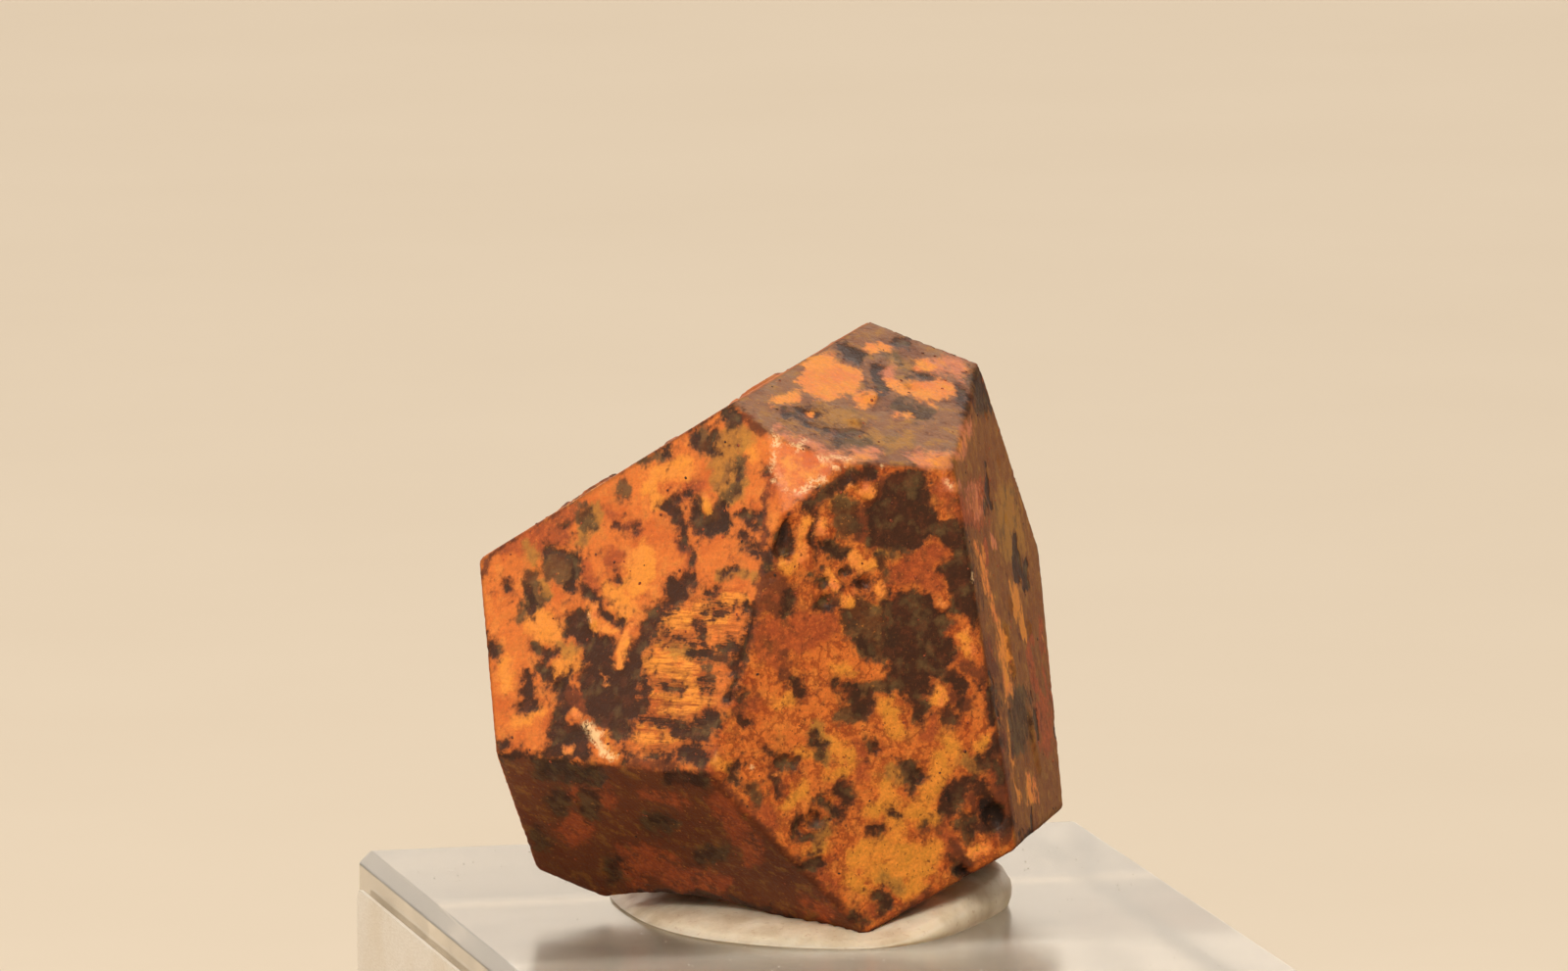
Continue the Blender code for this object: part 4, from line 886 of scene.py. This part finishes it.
def goethite_material(settings):
    """Earthy orange goethite with ragged stains, specks and growth lines."""
    surface, tree, shader = new_material(
        "stained_goethite", Specular_IOR_Level=0.28, Coat_Weight=0.03, Coat_Roughness=0.25,
    )
    # noises: fine to broad, with the growth lines' streaks along the crystal's axis
    ground = node(tree, "ShaderNodeAttribute", attribute_name="ground")
    fine = grain_noise(tree, 0.20, detail=4.0, roughness=0.6)
    medium = grain_noise(tree, 0.70, detail=5.0, roughness=0.6, offset=0.013)
    spots = grain_noise(tree, 0.50, detail=3.0, roughness=0.5, offset=0.047)
    broad = grain_noise(tree, 2.4, detail=4.0, offset=0.031)
    tint = grain_noise(tree, 1.3, detail=4.0, roughness=0.6, offset=0.071)
    streaks = grain_noise(tree, 0.27, detail=4.0, roughness=0.65, spread=(1.0, 1.0, 9.0), turned=True)
    striated = node(tree, "ShaderNodeAttribute", attribute_name="striated").outputs["Fac"]
    granular = node(tree, "ShaderNodeAttribute", attribute_name="granular").outputs["Fac"]
    ragged = calculate(tree, "MULTIPLY_ADD", fine, 0.35, -0.925)
    ragged = calculate(tree, "MULTIPLY_ADD", medium, 1.5, ragged)
    lines = calculate(tree, "MULTIPLY", calculate(tree, "SUBTRACT", streaks, 0.5), striated)
    edges = calculate(tree, "MULTIPLY_ADD", lines, 2.2, ragged)

    def stain(below, kind, colour, reach, soft, opacity, shift=0.0, satellites=0.0):
        """One kind of stain, painted glint or painted shade over the colours below, with loose spots round
        it.
        """
        field = node(tree, "ShaderNodeAttribute", attribute_name=kind).outputs["Fac"]
        inside = calculate(tree, "MULTIPLY_ADD", edges, reach, field)
        if satellites:
            loose = calculate(tree, "MULTIPLY_ADD", spots, satellites, -0.62 * satellites)
            inside = calculate(tree, "MAXIMUM", inside, calculate(tree, "MULTIPLY_ADD", field, 0.30, loose))
        share = remap(tree, inside, shift - soft, shift + soft, 0.0, opacity, smooth=True)
        return share, blend_colours(tree, share, below, colour)

    def varied(first, second, low=0.42, high=0.62):
        """Two colours mixed by the fine tint."""
        return blend_colours(tree, remap(tree, tint, low, high), first, second)

    red, yellow, maroon = tuple(settings.red), tuple(settings.yellow), tuple(settings.maroon)
    olive, dark, orange = tuple(settings.olive), tuple(settings.dark), tuple(settings.orange)
    # ground: deeper and brighter parts, then clouds of mustard and maroon
    colour = ground.outputs["Color"]
    deep = blend_colours(tree, 1.0, colour, (0.78, 0.56, 0.50), "MULTIPLY")
    colour = blend_colours(tree, remap(tree, broad, 0.38, 0.52, 0.55, 0.0, smooth=True), colour, deep)
    bright = blend_colours(tree, 1.0, colour, (1.07, 1.28, 1.36), "MULTIPLY")
    colour = blend_colours(tree, remap(tree, tint, 0.50, 0.64, 0.0, 0.8, smooth=True), colour, bright)
    cloudy = node(tree, "ShaderNodeAttribute", attribute_name="cloudy").outputs["Fac"]
    bent = node(tree, "ShaderNodeAttribute", attribute_name="bent").outputs["Fac"]
    cloud = grain_noise(tree, 1.1, detail=6.0, roughness=0.68, spread=(1.4, 1.0, 1.0), offset=0.097)
    mustard_share = remap(tree, cloud, 0.50, 0.66, 0.0, 0.75, smooth=True)
    mustard_share = calculate(tree, "MULTIPLY", mustard_share, cloudy)
    colour = blend_colours(tree, mustard_share, colour, tuple(settings.mustard))
    maroon_share = remap(tree, cloud, 0.32, 0.47, 0.7, 0.0, smooth=True)
    maroon_share = calculate(tree, "MULTIPLY", maroon_share, cloudy)
    colour = blend_colours(tree, maroon_share, colour, tuple(settings.maroon))
    # pores and veins of the crumbly parts
    pores = remap(tree, medium, 0.33, 0.44, 0.9, 0.0, smooth=True)
    brown = blend_colours(tree, 1.0, colour, (0.52, 0.40, 0.36), "MULTIPLY")
    colour = blend_colours(tree, calculate(tree, "MULTIPLY", pores, granular), colour, brown)
    veins = grain_noise(tree, 1.5, detail=4.0, roughness=0.6, offset=0.059)
    veins = calculate(tree, "ABSOLUTE", calculate(tree, "SUBTRACT", veins, 0.5), 0.0)
    veins = calculate(tree, "MULTIPLY", remap(tree, veins, 0.008, 0.06, 0.85, 0.0, smooth=True), granular)
    colour = blend_colours(tree, veins, colour, brown)
    # stains, painted glints and painted shade, each kind over those before it: reach of the ragged edge,
    # softness and opacity
    crumbs = grain_noise(tree, 0.42, detail=5.0, roughness=0.7, offset=0.109)
    crumbs = remap(tree, crumbs, 0.46, 0.62, 0.0, 0.75, smooth=True)
    earthy = blend_colours(tree, crumbs, varied(red, maroon, 0.46, 0.66), linear((198, 94, 40)))
    _, colour = stain(colour, "red", earthy, 1.0, 0.30, 0.85)
    ochre = blend_colours(tree, granular, orange, linear((214, 142, 44)))
    _, colour = stain(colour, "yellow", varied(yellow, ochre), 1.0, 0.34, 0.78)
    _, colour = stain(colour, "mustard", varied(tuple(settings.mustard), olive, 0.5, 0.7), 1.0, 0.30, 0.8)
    _, colour = stain(colour, "maroon", varied(maroon, red, 0.52, 0.7), 0.9, 0.22, 0.9)
    # the dark field also holds the painted shade along the lower left face's bottom edge
    _, colour = stain(colour, "dark", maroon, 1.0, 0.26, 0.70, shift=-0.16, satellites=1.5)
    greenish = varied(olive, dark, 0.40, 0.60)
    olive_share, colour = stain(colour, "olive", greenish, 0.9, 0.22, 0.88, satellites=1.1)
    blackish = varied(dark, olive, 0.50, 0.68)
    dark_share, colour = stain(colour, "dark", blackish, 1.0, 0.17, 0.94, satellites=1.3)
    worn = grain_noise(tree, 0.85, detail=5.0, roughness=0.65, offset=0.083)
    worn = remap(tree, worn, 0.50, 0.62, 0.0, 0.42, smooth=True)
    colour = blend_colours(tree, calculate(tree, "MULTIPLY", worn, dark_share), colour, maroon)
    pink = tuple(settings.pink)
    # pinkish spots: partly the crust's own colour, partly painted glints on the corner facet
    _, colour = stain(colour, "pink", varied(pink, orange, 0.50, 0.72), 1.0, 0.30, 0.80)
    rosy = blend_colours(tree, remap(tree, broad, 0.40, 0.60), linear((236, 132, 66)), orange)
    _, colour = stain(colour, "orange", varied(rosy, yellow, 0.46, 0.66), 0.8, 0.20, 0.92)
    # pale: painted glints on the front and pale chips on the hidden faces, broken into flecks by fine noise
    pale_share, below = stain(colour, "pale", tuple(settings.pale), 0.7, 0.22, 0.9)
    flecks = grain_noise(tree, 0.24, detail=3.0, roughness=0.65, offset=0.067)
    flecks = remap(tree, flecks, 0.41, 0.56, smooth=True)
    pale_field = node(tree, "ShaderNodeAttribute", attribute_name="pale").outputs["Fac"]
    flecks = calculate(tree, "MAXIMUM", flecks, remap(tree, pale_field, 0.10, 0.20, smooth=True))
    colour = blend_colours(tree, flecks, colour, below)
    pale_share = calculate(tree, "MULTIPLY", pale_share, flecks)
    # near-black spots, in the pits and hollows on the front and strewn on the hidden faces
    near_black_share, colour = stain(colour, "near_black", linear((34, 20, 13)), 0.8, 0.22, 0.92)
    # dark specks in the crumbly parts and light specks off the dark stains
    specks = grain_noise(tree, 0.26, detail=2.0, offset=0.05)
    specks = remap(tree, specks, 0.30, 0.37, 0.75, 0.0, smooth=True)
    colour = blend_colours(tree, calculate(tree, "MULTIPLY", specks, granular), colour, maroon)
    light = grain_noise(tree, 0.22, detail=2.0, offset=0.09)
    light = remap(tree, light, 0.64, 0.74, 0.0, 0.35, smooth=True)
    light = calculate(tree, "MULTIPLY", light, calculate(tree, "MULTIPLY_ADD", dark_share, -0.8, 1.0))
    colour = blend_colours(tree, light, colour, orange)
    # tone, roughness and fine relief of the whole
    spread = calculate(tree, "MULTIPLY_ADD", granular, 0.55, 0.45)
    grain = calculate(tree, "MULTIPLY_ADD", calculate(tree, "SUBTRACT", fine, 0.5), spread, 1.0)
    streak_tone = remap(tree, streaks, 0.32, 0.68, -0.55, 0.35)
    tone = calculate(tree, "MULTIPLY", grain, calculate(tree, "MULTIPLY_ADD", streak_tone, striated, 1.0))
    # darker where the surface bends away from every face: at edges, lumps and hollows
    tone = calculate(tree, "MULTIPLY", tone, calculate(tree, "MULTIPLY_ADD", bent, -0.22, 1.0))
    whole = node(tree, "ShaderNodeVectorMath", {0: colour, "Scale": tone}, operation="SCALE")
    tree.links.new(whole.outputs[0], shader.inputs["Base Color"])
    rough = calculate(tree, "SUBTRACT", fine, 0.5)
    rough = calculate(tree, "MULTIPLY_ADD", rough, 0.5, ground.outputs["Alpha"])
    rough = calculate(tree, "MULTIPLY_ADD", bent, 0.30, rough)
    rough = calculate(tree, "MULTIPLY_ADD", dark_share, -0.06, rough)
    rough = calculate(tree, "MULTIPLY_ADD", near_black_share, 0.40, rough)
    tree.links.new(calculate(tree, "MULTIPLY_ADD", pale_share, -0.20, rough), shader.inputs["Roughness"])
    height = calculate(tree, "MULTIPLY_ADD", fine, 0.5, medium)
    height = calculate(tree, "MULTIPLY_ADD", calculate(tree, "MULTIPLY", streaks, striated), 0.9, height)
    height = calculate(tree, "MULTIPLY_ADD", calculate(tree, "ADD", dark_share, olive_share), -0.30, height)
    bump(tree, shader, height, 0.10)
    return surface


def grain_material(settings):
    """Earthy grains that run from dark brown to orange."""
    surface, tree, shader = new_material("limonite_grain", Roughness=0.6)
    place = remap(tree, grain_noise(tree, 0.45, detail=1.0, offset=0.02), 0.40, 0.60)
    colour = blend_colours(tree, place, tuple(settings.dark), tuple(settings.red))
    tree.links.new(colour, shader.inputs["Base Color"])
    bump(tree, shader, grain_noise(tree, 0.08), 0.02)
    return surface


def across_lines(name, axis):
    """Direction on a face that crosses its growth lines."""
    normal = Vector(FACE_TONES[name][0])
    return normal.cross(CRYSTAL_AXES.to_matrix().col[axis]).normalized()


WELD = 0.002 * MM                 # vertices of the solid that lie closer than this are one
SMALLEST_GRAIN = 0.3              # share of the largest grain's width
GRAIN_FLATNESS = 0.35             # height of a grain as a share of its length
GRAIN_SEED = 5                    # fixes where the grains lie
RELIEF_SEED = 3.0                 # fixes the relief's noise


class CrystalOperator(bpy.types.Operator):
    """Build the stained and weathered surface of the crystal, with its earthy grains"""

    bl_idname = "goethite.crystal"
    bl_label = "Crystal"

    def execute(self, context):
        settings = context.scene.goethite_crystal
        shape = bmesh.new()
        shape.from_mesh(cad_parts["goethite_crystal"].data)
        bmesh.ops.remove_doubles(shape, verts=shape.verts, dist=WELD)
        surface = goethite_material(settings)
        piece = put_shape("crystal_surface", shape, surface)
        even = piece.modifiers.new("even_mesh", "REMESH")
        even.mode = "VOXEL"
        even.voxel_size = settings.mesh_size
        even.use_smooth_shade = True
        finish_modifiers(piece)
        paint_crystal(piece.data)
        run_nodes(piece, relief_tree(), {
            "Relief depth": settings.relief_depth, "Relief size": settings.relief_size,
            "Pit depth": settings.pit_depth, "Line depth": settings.line_depth,
            "Lines across": across_lines("left", 2), "Seed": RELIEF_SEED, "Material": surface,
        })
        area = sum(face.area for face in piece.data.polygons)
        grains = put_mesh("limonite_grains", piece.data.copy(), surface)
        run_nodes(grains, scatter_tree(), {
            "Density": settings.grain_count / area, "Smallest": settings.grain_size * SMALLEST_GRAIN,
            "Largest": settings.grain_size, "Flatness": GRAIN_FLATNESS, "Seed": GRAIN_SEED,
            "Material": grain_material(settings),
        })
        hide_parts("goethite_crystal")
        for item in (piece, grains):
            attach(item, "root")
        return {"FINISHED"}


# ------------------------------------------------------------------ putty
PUTTY_CENTRE = (-0.6 * MM, 3.4 * MM)
PUTTY_HALF_WIDTH = 13.0 * MM
PUTTY_HALF_DEPTH = 16.0 * MM
PUTTY_RISE = 2.4 * MM             # how much higher the middle is than the rim
PUTTY_RIM_RIGHT = 1.9 * MM        # rim on the right, where the putty is pressed up like a low wall
PUTTY_TAPERS = (0.42, 0.08)       # share of the half width over which the left and right rims slope up
PUTTY_TURN = (-1.0 * MM, 9.0 * MM)  # where across it the thin rim becomes the high one
# ripples of the rim: share of the half width, number of waves and where they start
PUTTY_RIPPLES = ((0.035, 3, 0.6), (0.02, 5, 2.0))
PUTTY_AROUND = 200                # points round the rim
# side of the rim: share of the half width and of the height
PUTTY_SIDE = (
    (0.955, 0.0), (0.985, 0.12), (0.997, 0.35), (1.0, 0.6), (0.994, 0.82), (0.98, 0.95), (0.962, 1.0),
)
PUTTY_ROWS = 34                   # rows from the rim's top to the middle
PUTTY_RISE_LOST = 0.6             # share of the rise that the high rim takes up
KNEAD_HEIGHT = 0.16 * MM          # height of the kneading marks on the top
KNEAD_WIDTH = 3.4 * MM            # and their width
KNEAD_START = 0.05                # share of the half width over which they grow from the rim
TOUCH = 0.03 * MM                 # how far the putty reaches into the crystal's underside
PUTTY_LIFT = 0.01 * MM            # gap between the block and the putty


def putty_form(rim, crystal, floor):
    """A low lump that swells round the crystal's foot and follows its underside."""
    shape = bmesh.new()
    edge = PUTTY_SIDE[-1][0]
    shares = [(edge * (1.0 - (row + 1) / (PUTTY_ROWS + 1)), 1.0) for row in range(PUTTY_ROWS)]
    rows = []
    for share, level in list(PUTTY_SIDE) + shares:
        row = []
        for index in range(PUTTY_AROUND):
            angle = math.tau * index / PUTTY_AROUND
            ripple = 1.0
            for size, waves, begin in PUTTY_RIPPLES:
                ripple += size * math.sin(waves * angle + begin)
            x = PUTTY_CENTRE[0] + ripple * share * PUTTY_HALF_WIDTH * math.cos(angle)
            y = PUTTY_CENTRE[1] + ripple * share * PUTTY_HALF_DEPTH * math.sin(angle)
            inward = 1.0 - share if level == 1.0 else 0.0
            turned = min(max((x - PUTTY_TURN[0]) / (PUTTY_TURN[1] - PUTTY_TURN[0]), 0.0), 1.0)
            turned *= turned * (3.0 - 2.0 * turned)
            taper = PUTTY_TAPERS[0] + turned * (PUTTY_TAPERS[1] - PUTTY_TAPERS[0])
            swell = PUTTY_RISE * (1.0 - math.exp(-inward / taper)) * (1.0 - PUTTY_RISE_LOST * turned)
            knead = KNEAD_HEIGHT * noise.noise(Vector((x, y, 0.0)) / KNEAD_WIDTH)
            knead *= 1.0 - math.exp(-inward / KNEAD_START)
            height = level * (rim + turned * (PUTTY_RIM_RIGHT - rim) + swell) + knead
            foot = Vector((x, y, floor))
            ceiling = crystal.ray_cast(foot, Vector((0.0, 0.0, 1.0)))[0]
            if ceiling is not None:
                height = min(height, ceiling.z - floor + TOUCH)
            row.append(shape.verts.new((x, y, floor + height)))
        rows.append(row)
    for lower, upper in zip(rows, rows[1:]):
        for index in range(PUTTY_AROUND):
            following = (index + 1) % PUTTY_AROUND
            shape.faces.new((lower[index], lower[following], upper[following], upper[index]))
    shape.faces.new(rows[0][::-1])
    shape.faces.new(rows[-1])
    return shape


class PuttyOperator(bpy.types.Operator):
    """Build the putty that holds the crystal on the block"""

    bl_idname = "goethite.putty"
    bl_label = "Putty"

    def execute(self, context):
        settings = context.scene.goethite_mount
        surface, tree, shader = new_material(
            "mineral_putty", Subsurface_Weight=0.45, Subsurface_Radius=(0.0016, 0.0012, 0.0008),
            Subsurface_Scale=1.0, IOR=1.45,
        )
        smear = grain_noise(tree, 2.6, detail=4.0, offset=0.011)
        putty = tuple(settings.putty_colour)
        colour = blend_colours(tree, remap(tree, smear, 0.4, 0.65), putty, linear((210, 190, 162)))
        dirt = remap(tree, grain_noise(tree, 0.4, detail=3.0), 0.62, 0.70, 0.0, 0.35)
        colour = blend_colours(tree, dirt, colour, linear((176, 132, 90)))
        tree.links.new(colour, shader.inputs["Base Color"])
        tree.links.new(remap(tree, smear, 0.3, 0.7, 0.30, 0.50), shader.inputs["Roughness"])
        kneaded = calculate(tree, "MULTIPLY_ADD", grain_noise(tree, 0.5, detail=4.0), 0.35, smear)
        bump(tree, shader, kneaded, 0.12)
        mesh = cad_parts["goethite_crystal"].data
        places = [vert.co for vert in mesh.vertices]
        crystal = BVHTree.FromPolygons(places, [tuple(face.vertices) for face in mesh.polygons])
        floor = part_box("acrylic_block")[1][2] + PUTTY_LIFT
        piece = put_shape("putty_seat", putty_form(settings.putty_rim, crystal, floor), surface)
        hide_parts("mounting_putty")
        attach(piece, "root")
        return {"FINISHED"}


# ------------------------------------------------------------------ block, label and dust
BEVEL_ROUGHNESS = 0.22            # the bevels are less polished than the sides
TOP_ROUGHNESS = 0.20              # and so is the worn top
DUST_INSET = 1.4 * MM             # dust lies this far inside the block's edges
DUST_LIFT = 0.01 * MM             # and this far above its top
SMALLEST_SPECK = 0.2              # share of the largest speck's width
SPECK_FLATNESS = 0.4              # height of a speck as a share of its length
SPECK_SEED = 9                    # fixes where the specks lie
CARD_CORNER = 0.8 * MM            # rounding of the card's corners


def face_roughness(face):
    """Least roughness of one of the block's faces: bevels, top or polished side."""
    if max(map(abs, face.normal)) < 0.9:
        return BEVEL_ROUGHNESS
    return TOP_ROUGHNESS if face.normal.z > 0.9 else 0.0


def box_shape(low, high):
    """A box between two corners."""
    shape = bmesh.new()
    bmesh.ops.create_cube(shape, size=1.0)
    bmesh.ops.scale(shape, verts=shape.verts, vec=high - low)
    bmesh.ops.translate(shape, verts=shape.verts, vec=(high + low) / 2)
    return shape


def bevel_edges(shape, edges, width, segments):
    """Cut some edges of a shape back to a bevel, or to a rounding with more segments."""
    bmesh.ops.bevel(shape, geom=edges, offset=width, segments=segments, affect="EDGES", profile=0.5)


class BlockOperator(bpy.types.Operator):
    """Build the clear block with its bevelled edges and the dust on it"""

    bl_idname = "goethite.block"
    bl_label = "Clear block"

    def execute(self, context):
        settings = context.scene.goethite_mount
        low, high = (Vector(corner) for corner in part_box("acrylic_block"))
        surface, tree, shader = new_material("clear_acrylic", IOR=1.49, Transmission_Weight=1.0)
        shader.inputs["Base Color"].default_value = (*linear((252, 250, 246)), 1.0)
        wiped = grain_noise(tree, 1.6, detail=5.0, spread=(6.0, 1.0, 1.0))
        haze = remap(tree, wiped, 0.40, 0.75, 0.05, 0.16)
        least = node(tree, "ShaderNodeAttribute", attribute_name="least_roughness").outputs["Fac"]
        tree.links.new(calculate(tree, "MAXIMUM", haze, least), shader.inputs["Roughness"])
        bump(tree, shader, grain_noise(tree, 9.0, detail=1.0), 0.05)
        output = tree.nodes["Material Output"]
        tint = {"Color": (*linear((250, 240, 222)), 1.0), "Density": 6.0}
        tint = node(tree, "ShaderNodeVolumeAbsorption", tint)
        tree.links.new(tint.outputs[0], output.inputs["Volume"])
        shape = box_shape(low, high)
        bevel_edges(shape, shape.edges[:], settings.chamfer, 1)
        bevel_edges(shape, shape.edges[:], settings.arris, 3)
        block = put_shape("clear_block", shape, surface)
        flat = block.modifiers.new("flat_faces", "WEIGHTED_NORMAL")
        flat.keep_sharp = True
        finish_modifiers(block)
        least = block.data.attributes.new("least_roughness", "FLOAT", "FACE")
        least.data.foreach_set("value", [face_roughness(face) for face in block.data.polygons])
        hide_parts("acrylic_block")
        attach(block, "root")
        shape = bmesh.new()
        left, right = low.x + DUST_INSET, high.x - DUST_INSET
        front, back = low.y + DUST_INSET, high.y - DUST_INSET
        corners = ((left, front), (right, front), (right, back), (left, back))
        shape.faces.new([shape.verts.new((x, y, high.z + DUST_LIFT)) for x, y in corners])
        lint, tree, shader = new_material("pale_dust", Roughness=0.8)
        tone = blend_colours(tree, grain_noise(tree, 0.7), linear((250, 246, 238)), linear((196, 176, 150)))
        tree.links.new(tone, shader.inputs["Base Color"])
        dust = put_shape("block_dust", shape, lint)
        run_nodes(dust, scatter_tree(), {
            "Density": settings.speck_count / ((high.x - low.x) * (high.y - low.y)),
            "Smallest": settings.speck_size * SMALLEST_SPECK, "Largest": settings.speck_size,
            "Flatness": SPECK_FLATNESS, "Seed": SPECK_SEED, "Material": lint,
        })
        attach(dust, "root")
        return {"FINISHED"}


class LabelOperator(bpy.types.Operator):
    """Build the bare card label on the block's side"""

    bl_idname = "goethite.label"
    bl_label = "Label"

    def execute(self, context):
        settings = context.scene.goethite_mount
        surface, tree, shader = new_material("bare_card", Roughness=0.85)
        fibres = grain_noise(tree, 0.12, detail=5.0, spread=(1.0, 5.0, 1.0))
        stain = remap(tree, grain_noise(tree, 7.0, detail=2.0), 0.45, 0.75, 0.0, 0.35)
        darker = remap(tree, fibres, 0.35, 0.7, 0.0, 0.3)
        card = tuple(settings.card_colour)
        colour = blend_colours(tree, darker, card, linear((198, 182, 158)))
        colour = blend_colours(tree, stain, colour, linear((216, 198, 168)))
        tree.links.new(colour, shader.inputs["Base Color"])
        bump(tree, shader, fibres, 0.03)
        low, high = (Vector(corner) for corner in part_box("paper_label"))
        shape = box_shape(low, high)
        corners = [edge for edge in shape.edges if abs(edge.verts[0].co.x - edge.verts[1].co.x) > 0.1 * MM]
        bevel_edges(shape, corners, CARD_CORNER, 5)
        piece = put_shape("label_card", shape, surface, smooth=False)
        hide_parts("paper_label")
        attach(piece, "root")
        return {"FINISHED"}


# ------------------------------------------------------------------ stage
FLOOR_LEVEL = -0.15 * MM          # a film of air under the block keeps its underside clear
FLOOR_HALF = 4.0                  # m, half of the floor's width
OBJECT_MIDDLE = (0.0, 0.0, 0.04)  # m, where most lights point
BLOCK_BEVEL = (-0.025, -0.01, 0.025)  # m, where the light for the bevel points
SCREEN_AIM = (0.0, 0.0, 0.1)      # m, where the large back light points


def area_light(name, place, target, size, power, colour):
    """A large soft light that looks at a target."""
    light = bpy.data.lights.new(name, "AREA")
    light.shape = "DISK"
    light.size = size
    light.energy = power
    light.color = colour
    item = bpy.data.objects.new(name, light)
    item.location = place
    item.rotation_euler = (Vector(target) - Vector(place)).to_track_quat("-Z", "Y").to_euler()
    bpy.context.scene.collection.objects.link(item)


class StageOperator(bpy.types.Operator):
    """Build the pale floor, the soft lights and the camera"""

    bl_idname = "goethite.stage"
    bl_label = "Studio"

    def execute(self, context):
        settings = context.scene.goethite_stage
        surface, tree, shader = new_material("studio_floor", Roughness=0.8)
        pale = tuple(settings.floor_colour)
        tone = blend_colours(tree, grain_noise(tree, 60.0), pale, linear((226, 211, 190)))
        tree.links.new(tone, shader.inputs["Base Color"])
        shape = bmesh.new()
        corners = ((-1, -1), (1, -1), (1, 1), (-1, 1))
        corners = [(x * FLOOR_HALF, y * FLOOR_HALF, FLOOR_LEVEL) for x, y in corners]
        shape.faces.new([shape.verts.new(corner) for corner in corners])
        floor = put_shape("studio_floor", shape, surface)
        # name, place, target, size (m), power, colour
        lights = (
            ("key_light", (-0.22, -0.95, 1.0), OBJECT_MIDDLE, 0.55, settings.key_power, (1.0, 0.93, 0.83)),
            ("fill_light", (-1.1, 0.2, 0.7), OBJECT_MIDDLE, 0.9, settings.fill_power, (1.0, 0.95, 0.90)),
            ("back_light", (0.7, 0.9, 1.1), OBJECT_MIDDLE, 0.7, settings.back_power, (1.0, 0.96, 0.90)),
            ("bevel_light", (-0.28, 1.8, 0.48), BLOCK_BEVEL, 0.5, settings.bevel_power, (1.0, 0.82, 0.64)),
            ("back_screen", (0.25, 1.9, 0.5), SCREEN_AIM, 2.2, settings.screen_power, (1.0, 0.88, 0.74)),
        )
        for values in lights:
            area_light(*values)
        world = bpy.data.worlds.new("studio")
        world.use_nodes = True
        sky = world.node_tree.nodes["Background"]
        sky.inputs["Color"].default_value = (*linear((248, 236, 218)), 1.0)
        sky.inputs["Strength"].default_value = settings.sky_strength
        context.scene.world = world
        context.scene.view_settings.view_transform = "Standard"
        camera = bpy.data.cameras.new("camera")
        camera.lens = LENS
        camera.sensor_width = 36.0
        camera.clip_start = 0.01
        item = bpy.data.objects.new("camera", camera)
        item.location = CAMERA_PLACE
        item.rotation_euler = view_axes()[2].to_track_quat("Z", "Y").to_euler()
        context.scene.collection.objects.link(item)
        context.scene.camera = item
        return {"FINISHED"}


class GoethitePanel(bpy.types.Panel):
    """Lists the steps that build the object."""

    bl_idname = "VIEW3D_PT_goethite"
    bl_label = "Goethite"
    bl_space_type = "VIEW_3D"
    bl_region_type = "UI"
    bl_category = "Goethite"

    def draw(self, context):
        for name, steps in STEPS.items():
            box = self.layout.box()
            group = getattr(context.scene, name)
            for key in group.__annotations__:
                box.prop(group, key)
            for step in steps:
                box.operator(step.bl_idname)


STEPS = {
    "goethite_stage": (StageOperator,),
    "goethite_crystal": (CrystalOperator,),
    "goethite_mount": (PuttyOperator, BlockOperator, LabelOperator),
}
GROUPS = {
    "goethite_crystal": CrystalSettings,
    "goethite_mount": MountSettings,
    "goethite_stage": StageSettings,
}


def register():
    """Register the classes and the settings."""
    for name, group in GROUPS.items():
        bpy.utils.register_class(group)
        setattr(bpy.types.Scene, name, PointerProperty(type=group))
    for steps in STEPS.values():
        for step in steps:
            bpy.utils.register_class(step)
    bpy.utils.register_class(GoethitePanel)


def unregister():
    """Take the classes and the settings back."""
    bpy.utils.unregister_class(GoethitePanel)
    for steps in STEPS.values():
        for step in steps:
            bpy.utils.unregister_class(step)
    for name, group in GROUPS.items():
        delattr(bpy.types.Scene, name)
        bpy.utils.unregister_class(group)


def main():
    """Build everything in order."""
    register()
    for steps in STEPS.values():
        for step in steps:
            group, name = step.bl_idname.split(".")
            getattr(getattr(bpy.ops, group), name)()


if __name__ == "__main__":
    main()
